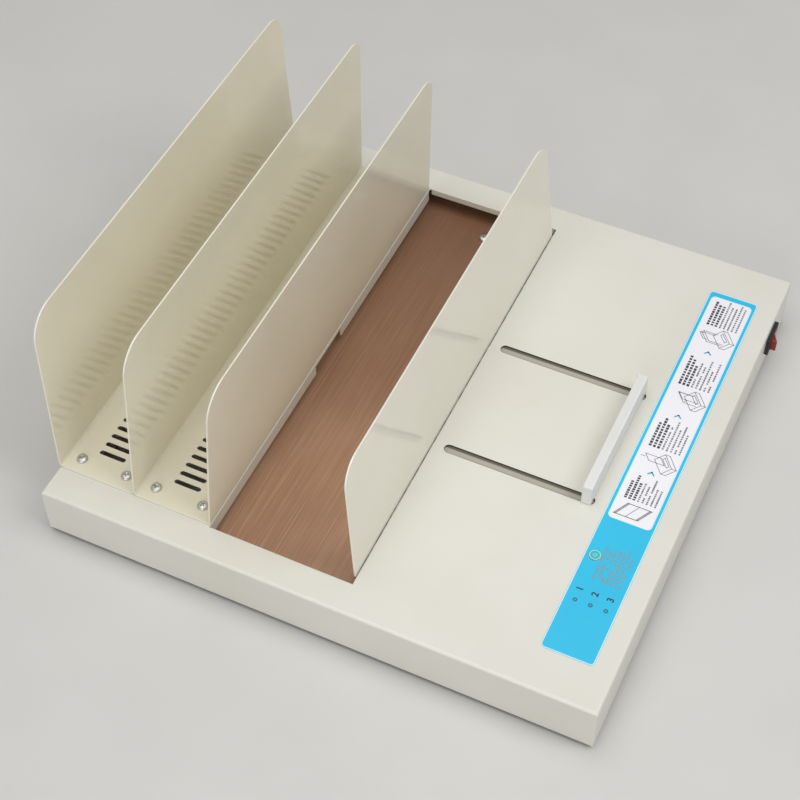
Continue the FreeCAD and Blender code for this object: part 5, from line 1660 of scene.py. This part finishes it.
@dataclass
class ControlPanel:
    """The printed film on the panel, its start key and its lamps.

    Args:
        ink: the thickness of one layer of print.
        border: how far the white field stays from the film's long edges.
        field_front: where the white field starts along Y.
        field_rear: where it ends.
        stroke: the width of a drawn line.
        stretch: how much taller than wide the small machines are drawn.
        film_corner: the radius of the film's corners.
        edge: how far the pale edge of the film reaches in.
        edge_gap: how much of the film is left outside that edge.
        field_corner: the radius of the white field's corners.
        halo: the width of the pale edge round the white field.
        steps_shown: the four steps, from the rear.
        arrows: where an arrow leads from one step to the next, along Y.
        pitch: the distance between rows of marks.
        faint_front: where the faint rows beside the key start along Y.
        faint_length: the length of the longest of them.
        numeral: the height of a lamp's number.
        bold: how much its strokes are thickened.
        numeral_gap: how far behind its lamp it stands.
        window: the radius of a lamp's window.
        rim: the inner and outer radius of the ring round it.
        key_ring: the inner and outer radius of the ring on the key.
        key_arc: the inner and outer radius of the open ring inside it.
    """

    ink: float = 0.03 * MM
    border: float = 3.5 * MM
    field_front: float = -56 * MM
    field_rear: float = 159.5 * MM
    stroke: float = 0.46 * MM
    stretch: float = 1.85
    film_corner: float = 3 * MM
    edge: float = 0.75 * MM
    edge_gap: float = 0.15 * MM
    field_corner: float = 2.6 * MM
    halo: float = 0.7 * MM
    steps_shown: tuple[StepLayout, ...] = (
        StepLayout(StepPicture.COOL, 122.0 * MM, 146.4 * MM, 27 * MM),
        StepLayout(StepPicture.PRESS, 59.6 * MM, 86.4 * MM, 29 * MM),
        StepLayout(StepPicture.LOAD, -1.0 * MM, 25.4 * MM, 28 * MM),
        StepLayout(StepPicture.PAGES, -46.8 * MM, -25.9 * MM, 22 * MM))
    arrows: tuple[float, ...] = (106.2 * MM, 42.7 * MM, -11.5 * MM)
    pitch: float = 3 * MM
    faint_front: float = -106.5 * MM
    faint_length: float = 31 * MM
    numeral: float = 4.6 * MM
    bold: float = 0.16 * MM
    numeral_gap: float = 9 * MM
    window: float = 0.9 * MM
    rim: Spot = (0.95 * MM, 1.5 * MM)
    key_ring: Spot = (3.3 * MM, 3.8 * MM)
    key_arc: Spot = (1.0 * MM, 1.35 * MM)

    def build(self) -> None:
        """Print the film, set the key and the lamps."""
        soften_node("control_label", Body.BASE, Slot.PANEL_FILM, 0.12 * MM)
        self.low, self.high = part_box("control_label")
        self.top = self.high.z
        self.grounds()
        self.steps()
        self.lamps()
        self.key()
        dress("indicator_board", Slot.BOARD_LAMINATE)
        dress("indicator_studs", Slot.NATURAL_NYLON)
        dress("push_switch", Slot.BLACK_PLASTIC)

    def print_film(self, name: str, stock: Stock, finish: Finish) -> None:
        """Put one layer of print on the film.

        Args:
            name: the layer's name.
            stock: its shapes.
            finish: its ink.
        """
        lay(name, stock, Slot.PANEL_FILM, finish=finish, smooth=False)

    def grounds(self) -> None:
        """Print the pale edge of the film and the white field."""
        floor, roof = self.top - self.ink, self.top + self.ink

        def inside(inset: float, corner: float) -> list[Spot]:
            """Give the film's outline, moved inwards."""
            return rounded((self.low.x + inset, self.low.y + inset),
                           (self.high.x - inset, self.high.y - inset), corner)

        def round_field(outset: float) -> list[Spot]:
            """Give the white field's outline, moved outwards."""
            return rounded((self.low.x + self.border - outset, self.field_front - outset),
                           (self.high.x - self.border + outset, self.field_rear + outset),
                           self.field_corner + outset)

        self.print_film("film_edge", Stock().ring(
            inside(self.edge_gap, self.film_corner - self.edge_gap),
            inside(self.edge, self.film_corner - self.edge), floor, roof), EDGE_INK)
        self.print_film("white_field", Stock().prism(round_field(0.0), floor, roof), WHITE_INK)
        self.print_film("field_edge", Stock().ring(
            round_field(self.halo), round_field(0.0), floor, roof), EDGE_INK)

    def steps(self) -> None:
        """Print the four steps: a picture and rows of marks for each, with arrows."""
        middle = (self.low.x + self.high.x) / 2
        lines, arrows = Stock(), Stock()
        for step in self.steps_shown:
            self.draw(lines, step.picture, Vector((middle, step.drawn, 0)))
        self.print_film("step_pictures", lines, GREY_INK)
        for along in self.arrows:
            self.chevron(arrows, middle - 0.4 * MM, along)
        self.print_film("step_arrows", arrows, BLUE_INK)
        for index, step in enumerate(self.steps_shown):
            front = step.written - step.length / 2
            self.rows(f"step_{index + 1}_marks", HEADING, step.length, front, 20 + index)
            self.rows(f"step_{index + 1}_lines", TEXT, step.length, front, 40 + index)
        self.rows("front_marks", FAINT, self.faint_length, self.faint_front, 61)

    def rows(self, name: str, style: MarkStyle, length: float, front: float,
             seed: int) -> None:
        """Print rows of small marks.

        Args:
            name: the piece's name.
            style: how they are printed.
            length: the length of the longest row.
            front: where the rows start along Y.
            seed: picks the gaps and the ragged ends.
        """
        mesh = PATTERNS.grow(name, "printed_rows", None, Rows=style.rows, Row_Pitch=self.pitch,
                             Row_Length=length, Marks=style.marks, Mark_Width=style.width,
                             Fill=style.fill, Ink=2 * self.ink, Shade=style.shade, Seed=seed,
                             Corner=(self.low.x + style.across, front, self.top + self.ink),
                             Material=style.finish.material())
        settle(add_piece(name, mesh, style.finish, smooth=False), Body.BASE, Slot.PANEL_FILM)

    def line(self, stock: Stock, start: Vector, stop: Vector, width: float) -> None:
        """Draw one straight line of ink.

        Args:
            stock: the layer.
            start: where the line starts.
            stop: where it ends.
            width: its width.
        """
        ahead = (stop - start).to_2d()
        if ahead.length < TOUCHING:
            return
        ahead.normalize()
        side = Vector((-ahead.y, ahead.x)) * width / 2
        back = ahead * width / 2
        near, far = start.to_2d() - back, stop.to_2d() + back
        stock.prism([tuple(near - side), tuple(far - side), tuple(far + side),
                     tuple(near + side)], self.top, self.top + 2 * self.ink)

    def chevron(self, stock: Stock, x: float, y: float) -> None:
        """Draw an arrow head that points to the rear."""
        for side in (-1, 1):
            self.line(stock, Vector((x + side * 2.0 * MM, y - 1.2 * MM, 0)),
                      Vector((x, y + 0.8 * MM, 0)), 1.1 * MM)

    def draw(self, stock: Stock, picture: StepPicture, middle: Vector) -> None:
        """Draw a step as a small slanted view of a plain box and sheets.

        Args:
            stock: the layer.
            picture: the step.
            middle: the picture's middle on the film.
        """
        def spot(x: float, y: float, z: float) -> Vector:
            """Where a point of the slanted view lies on the film."""
            along = (x - y) * 0.86
            up = (x + y) * 0.42 + z
            return middle + Vector((-(up - 7.6) * self.stretch, (along - 1.3) * 1.15, 0)) * MM

        def path(*points: tuple[float, float, float]) -> None:
            """Join points by lines."""
            for near, far in zip(points, points[1:]):
                self.line(stock, spot(*near), spot(*far), self.stroke)

        def block(x: float, y: float, z: float, dx: float, dy: float, dz: float) -> None:
            """Draw a box's edges that are in view."""
            path((x, y, z), (x + dx, y, z), (x + dx, y, z + dz), (x, y, z + dz), (x, y, z),
                 (x, y + dy, z), (x, y + dy, z + dz), (x, y, z + dz))
            path((x + dx, y, z + dz), (x + dx, y + dy, z + dz), (x, y + dy, z + dz))

        if picture is StepPicture.PAGES:
            self.sheets(stock, middle)
            return
        block(0, 0, 0, 10, 7, 1.8)
        path((2, 1, 1.8), (8, 1, 1.8), (8, 2.6, 1.8), (2, 2.6, 1.8), (2, 1, 1.8))
        if picture is StepPicture.LOAD:
            path((2.4, 1.8, 3), (7.6, 1.8, 3), (7.6, 1.8, 9), (2.4, 1.8, 9), (2.4, 1.8, 3))
            path((5, 1.8, 11.4), (5, 1.8, 9.8))
        elif picture is StepPicture.PRESS:
            path((2.4, 1.8, 1.8), (2.4, 1.8, 7.5), (7.6, 1.8, 7.5), (7.6, 1.8, 1.8))
            path((1, 3.4, 1.8), (1, 3.4, 6.5), (9, 3.4, 6.5), (9, 3.4, 1.8))
            path((5, 6.4, 3.4), (5, 4.6, 3.4))
        else:
            for back in (4.2, 5.6):
                path((1, back, 1.8), (1, back, 7.5), (9, back, 7.5), (9, back, 1.8))
            path((2.4, 4.9, 7.5), (2.4, 4.9, 9), (7.6, 4.9, 9), (7.6, 4.9, 7.5))

    def sheets(self, stock: Stock, middle: Vector) -> None:
        """Draw folded sheets that lie on each other.

        Args:
            stock: the layer.
            middle: their middle on the film.
        """
        corners = ((-11.0, -5.5), (-4.8, 5.5), (11.0, 5.3), (4.7, -5.5))
        for lift in (0.0, 0.7, 1.4):
            turn = [middle + Vector((x - lift, y, 0)) * MM for x, y in corners]
            for near, far in zip(turn, turn[1:] + turn[:1]):
                self.line(stock, near, far, self.stroke)
        self.line(stock, middle + Vector((-4.0, -5.5, 0)) * MM,
                  middle + Vector((2.2, 5.5, 0)) * MM, self.stroke)

    def number(self, name: str, sign: str, x: float, y: float) -> None:
        """Print a plain number that reads towards the rear.

        Args:
            name: the piece's name.
            sign: the number.
            x: its middle across.
            y: its middle along.
        """
        writing = bpy.data.curves.new(name, "FONT")
        writing.body = sign
        writing.size = self.numeral * 1.4
        writing.align_x = "CENTER"
        writing.align_y = "CENTER"
        writing.extrude = self.ink
        writing.offset = self.bold
        mesh = evaluated(stand(name, writing))
        mesh.transform(Matrix.Translation((x, y, self.top + self.ink))
                       @ Matrix.Rotation(math.pi / 2, 4, "Z"))
        shell = bmesh.new()
        shell.from_mesh(mesh)
        bmesh.ops.remove_doubles(shell, verts=shell.verts, dist=1e-7)
        bmesh.ops.recalc_face_normals(shell, faces=shell.faces)
        shell.to_mesh(mesh)
        shell.free()
        settle(add_piece(name, mesh, DARK_INK, smooth=False), Body.BASE, Slot.PANEL_FILM)

    def lamps(self) -> None:
        """Print the lamp windows with their numbers, and dress the lamps under them."""
        windows, rims = Stock(), Stock()
        for index, node in enumerate(("lamp_left", "lamp_middle", "lamp_right")):
            dress(node, Slot.LAMP_LENS)
            x, y, _ = middle_of(node)
            windows.prism(round_outline(x, y, self.window), self.top - self.ink,
                          self.top + 1.5 * self.ink)
            rims.ring(round_outline(x, y, self.rim[1]), round_outline(x, y, self.rim[0]),
                      self.top - self.ink, self.top + self.ink)
            self.number(f"lamp_number_{index + 1}", str(index + 1), x, y + self.numeral_gap)
        self.print_film("lamp_windows", windows, SMOKED_INK)
        self.print_film("lamp_rims", rims, RIM_INK)

    def key(self) -> None:
        """Dress the start key: its ring and its on-off sign."""
        soften_node("start_key", Body.KEY, Slot.KEY_FILM, 0.1 * MM)
        x, y, _ = middle_of("start_key")
        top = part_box("start_key")[1].z
        floor, roof = top - self.ink, top + self.ink
        turns = [math.pi + math.radians(45 + 270 * i / 20) for i in range(21)]
        outer, inner = ([(x + radius * math.cos(turn), y + radius * math.sin(turn))
                         for turn in turns] for radius in self.key_arc[::-1])
        half = 0.18 * MM
        sign = Stock().ring(round_outline(x, y, self.key_ring[1], 48),
                            round_outline(x, y, self.key_ring[0], 48), floor, roof)
        sign.prism(outer + inner[::-1], floor, roof)
        sign.prism(rectangle((x - 1.8 * MM, y - half), (x - 0.2 * MM, y + half)), floor, roof)
        lay("key_sign", sign, Slot.KEY_FILM, body=Body.KEY, finish=GREEN_INK, smooth=False)


@dataclass
class PowerBoard:
    """The power board with its transformer, relay and smaller parts.

    Args:
        wire: the width of the transformer's wire.
        lamination: the thickness of one core sheet.
    """

    wire: float = 0.8 * MM
    lamination: float = 0.9 * MM

    def build(self) -> None:
        """Dress the board and what stands on it."""
        dress("power_board", Slot.BOARD_LAMINATE)
        dress("board_standoffs", Slot.NATURAL_NYLON)
        ScrewSet("board_screws", **SMALL, seed=13).build()
        self.transformer()
        for node, slot in (("heater_relay", Slot.WHITE_PLASTIC), ("buzzer", Slot.BLACK_PLASTIC),
                           ("terminal_strip", Slot.TERMINAL_GREEN),
                           ("fuse_holder", Slot.BLACK_PLASTIC)):
            soften_node(node, Body.BASE, slot, 0.4 * MM)
        self.capacitor()
        self.small_parts()

    def transformer(self) -> None:
        """Build the transformer from its stacked core and its winding."""
        low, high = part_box("transformer")
        length, width = high.y - low.y, high.x - low.x
        margin, rise = 4 * MM, 3 * MM
        core_top = high.z - rise
        count = int(width / self.lamination)
        finish = FINISHES[Slot.CORE_STEEL]
        core = PATTERNS.grow("transformer_core", "slabs", None, Slabs=count,
                             Step=(width / count, 0.0, 0.0),
                             Slab_Size=(width / count * 0.86, length, core_top - low.z),
                             Shuffle=(0.0, 0.0, 0.06 * MM),
                             Start=(low.x + width / count / 2, (low.y + high.y) / 2,
                                    (low.z + core_top) / 2), Seed=5,
                             Material=finish.material())
        settle(add_piece("transformer_core", core, finish, smooth=False), Body.BASE,
               Slot.CORE_STEEL, "transformer")
        turns = int((length - 2 * margin - 2 * MM) / self.wire)
        tall = rise * 2 + 4 * MM
        winding = PATTERNS.grow("transformer_winding", "winding", None, Turns=turns,
                                Wire_Width=self.wire, Coil_Width=width - 1 * MM,
                                Coil_Height=tall, Corner=2.5 * MM,
                                Start=((low.x + high.x) / 2,
                                       (low.y + high.y) / 2 - (turns - 1) * self.wire / 2,
                                       high.z - tall / 2 - self.wire / 2),
                                Material=COPPER.material())
        settle(add_piece("transformer_winding", winding, COPPER), Body.BASE,
               Slot.CONTACT_BRASS)

    def capacitor(self) -> None:
        """Turn the capacitor's can with its crimp and its scored vent."""
        low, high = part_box("capacitor")
        x, y, _ = middle_of("capacitor")
        radius = (high.x - low.x) / 2
        lay("capacitor_can", Stock().lathe([
            (0.0, low.z), (radius * 0.95, low.z), (radius, low.z + 0.6 * MM),
            (radius, low.z + 1.6 * MM), (radius * 0.93, low.z + 2.2 * MM),
            (radius, low.z + 2.8 * MM), (radius, high.z - 0.8 * MM),
            (radius * 0.94, high.z - 0.1 * MM), (radius * 0.84, high.z),
            (radius * 0.8, high.z - 0.25 * MM), (0.0, high.z - 0.25 * MM)], 40,
            Matrix.Translation((x, y, 0))), Slot.CAPACITOR_SLEEVE, "capacitor")
        top = Stock()
        top.prism(round_outline(x, y, radius * 0.79), high.z - 0.3 * MM, high.z - 0.1 * MM)
        for side in (0.0, math.pi / 2):
            bar = Matrix.Translation((x, y, 0)) @ Matrix.Rotation(side, 4, "Z")
            half = radius * 0.7
            top.prism(rectangle((-half, -0.2 * MM), (half, 0.2 * MM)), high.z - 0.15 * MM,
                      high.z - 0.04 * MM, bar)
        lay("capacitor_top", top, Slot.PLATEN_ALUMINIUM, smooth=False)

    def small_parts(self) -> None:
        """Add the fuse's glass and caps, and the buzzer's sound hole."""
        low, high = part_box("fuse_holder")
        x = (low.x + high.x) / 2
        start = low.y + 1 * MM
        span = high.y - low.y - 2 * MM
        turn = Matrix.Translation((x, start, high.z - 1.2 * MM)) @ Matrix.Rotation(
            -math.pi / 2, 4, "X")
        caps = Stock()
        for offset in (0.0, span * 0.76):
            caps.lathe([(0.0, offset), (2.5 * MM, offset), (2.6 * MM, offset + 0.3 * MM),
                        (2.6 * MM, offset + span * 0.24 - 0.3 * MM),
                        (2.5 * MM, offset + span * 0.24), (0.0, offset + span * 0.24)], 24, turn)
        lay("fuse_caps", caps, Slot.CONTACT_BRASS)
        x, y, _ = middle_of("buzzer")
        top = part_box("buzzer")[1].z
        lay("buzzer_mouth", Stock().ring(
            round_outline(x, y, 1.9 * MM), round_outline(x, y, 1.2 * MM), top - 0.1 * MM,
            top + 0.15 * MM), Slot.BLACK_PLASTIC, smooth=False)


@dataclass
class PowerEntry:
    """The rocker switch in the right wall and the mains inlet in the rear wall.

    Args:
        housing_round: how far the rounding of the housings' edges reaches.
        contact_round: how far the rounding of the paddle and the blades reaches.
    """

    housing_round: float = 0.35 * MM
    contact_round: float = 0.4 * MM

    def build(self) -> None:
        """Dress the switch, its paddle and the inlet."""
        soften_node("rocker_switch", Body.BASE, Slot.BLACK_PLASTIC, self.housing_round)
        soften_node("rocker_paddle", Body.ROCKER, Slot.RED_PLASTIC, self.contact_round)
        dress("switch_tabs", Slot.CONTACT_BRASS)
        soften_node("mains_inlet", Body.BASE, Slot.BLACK_PLASTIC, self.housing_round)
        soften_node("inlet_blades", Body.BASE, Slot.CONTACT_BRASS, self.contact_round)
        ScrewSet("inlet_screws", **SMALL, facing=Facing.REAR, seed=17).build()


# Studio

@dataclass
class Studio:
    """A plain pale floor, soft lamps and the camera.

    Args:
        eye: where the camera stands.
        ahead: the way it looks.
        up: the way that is up in its picture.
        lens: its focal length in millimetres.
        floor_tone: the floor's colour.
        floor_reach: half the length of the floor's side.
        glow: how bright the sky is.
        lamps: each soft lamp's name, place, aim, side and power in watts.
    """

    eye: Vector = field(default_factory=lambda: Vector((0.3170, -0.7133, 0.9898)))
    ahead: Vector = field(default_factory=lambda: Vector((-0.2727, 0.5663, -0.7778)))
    up: Vector = field(default_factory=lambda: Vector((-0.3261, 0.7061, 0.6285)))
    lens: float = 78.26
    floor_tone: Colour = tone(214, 213, 210)
    floor_reach: float = 6.0
    glow: float = 0.36
    lamps: tuple[tuple[str, Place, Place, float, float], ...] = (
        ("softbox_above", (-0.15, -0.1, 1.8), (0.0, 0.0, 0.05), 1.3, 11.0),
        ("softbox_front", (0.1, -1.9, 0.8), (0.0, 0.0, 0.1), 1.2, 8.8),
        ("softbox_right", (1.2, -0.1, 1.7), (0.0, 0.0, 0.1), 1.0, 12.0))

    def build(self) -> None:
        """Set up floor, lamps, sky and camera."""
        self.floor()
        self.sky()
        for lamp in self.lamps:
            self.hang(*lamp)
        self.camera()

    def floor(self) -> None:
        """Lay the floor."""
        mesh = bpy.data.meshes.new("floor")
        reach = self.floor_reach
        mesh.from_pydata([(-reach, -reach, 0), (reach, -reach, 0), (reach, reach, 0),
                          (-reach, reach, 0)], [], [(0, 1, 2, 3)])
        floor = add_piece("floor", mesh, Finish(
            "floor", self.floor_tone, tone(210, 209, 206), 0.7, 2 * MM, 0.02 * MM,
            edge_lightening=0.0, dust=0.0), smooth=False)

    def sky(self) -> None:
        """Light the scene evenly from all round."""
        world = bpy.data.worlds.new("studio")
        world.use_nodes = True
        world.node_tree.nodes.clear()
        wiring = Wiring(world.node_tree)
        glow = wiring.add("ShaderNodeBackground", {"Color": (1.0, 0.99, 0.97, 1.0),
                                                   "Strength": self.glow})
        wiring.add("ShaderNodeOutputWorld", {"Surface": glow.outputs[0]})
        bpy.context.scene.world = world

    def hang(self, name: str, place: Place, aim: Place, size: float, power: float) -> None:
        """Hang a square soft lamp.

        Args:
            name: the lamp's name.
            place: where it hangs.
            aim: the point that it looks at.
            size: the length of its side.
            power: its power in watts.
        """
        data = bpy.data.lights.new(name, "AREA")
        data.size = size
        data.energy = power
        lamp = stand(name, data)
        lamp.location = place
        lamp.rotation_euler = (Vector(aim) - Vector(place)).to_track_quat("-Z", "Y").to_euler()

    def camera(self) -> None:
        """Stand the camera where the photograph was taken."""
        data = bpy.data.cameras.new("camera")
        data.lens = self.lens
        data.sensor_width = 36.0
        data.clip_start = 0.02
        data.clip_end = 60.0
        back = -self.ahead.normalized()
        right = self.up.cross(back).normalized()
        upright = back.cross(right)
        turn = Matrix((right, upright, back)).transposed()
        camera = stand("camera", data)
        camera.matrix_world = Matrix.Translation(self.eye) @ turn.to_4x4()
        bpy.context.scene.camera = camera


def main() -> None:
    """Build every sub-assembly in order."""
    logging.basicConfig(level=logging.INFO, format="%(message)s")
    bpy.context.scene.view_settings.view_transform = "Standard"
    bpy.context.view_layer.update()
    for assembly in (Studio(), Casing(), CoolingRacks(), HeatingBed(), SlidingClamp(),
                     ControlPanel(), PowerBoard(), PowerEntry()):
        LOG.info("-- %s", type(assembly).__name__)
        assembly.build()


if __name__ == "__main__":
    main()
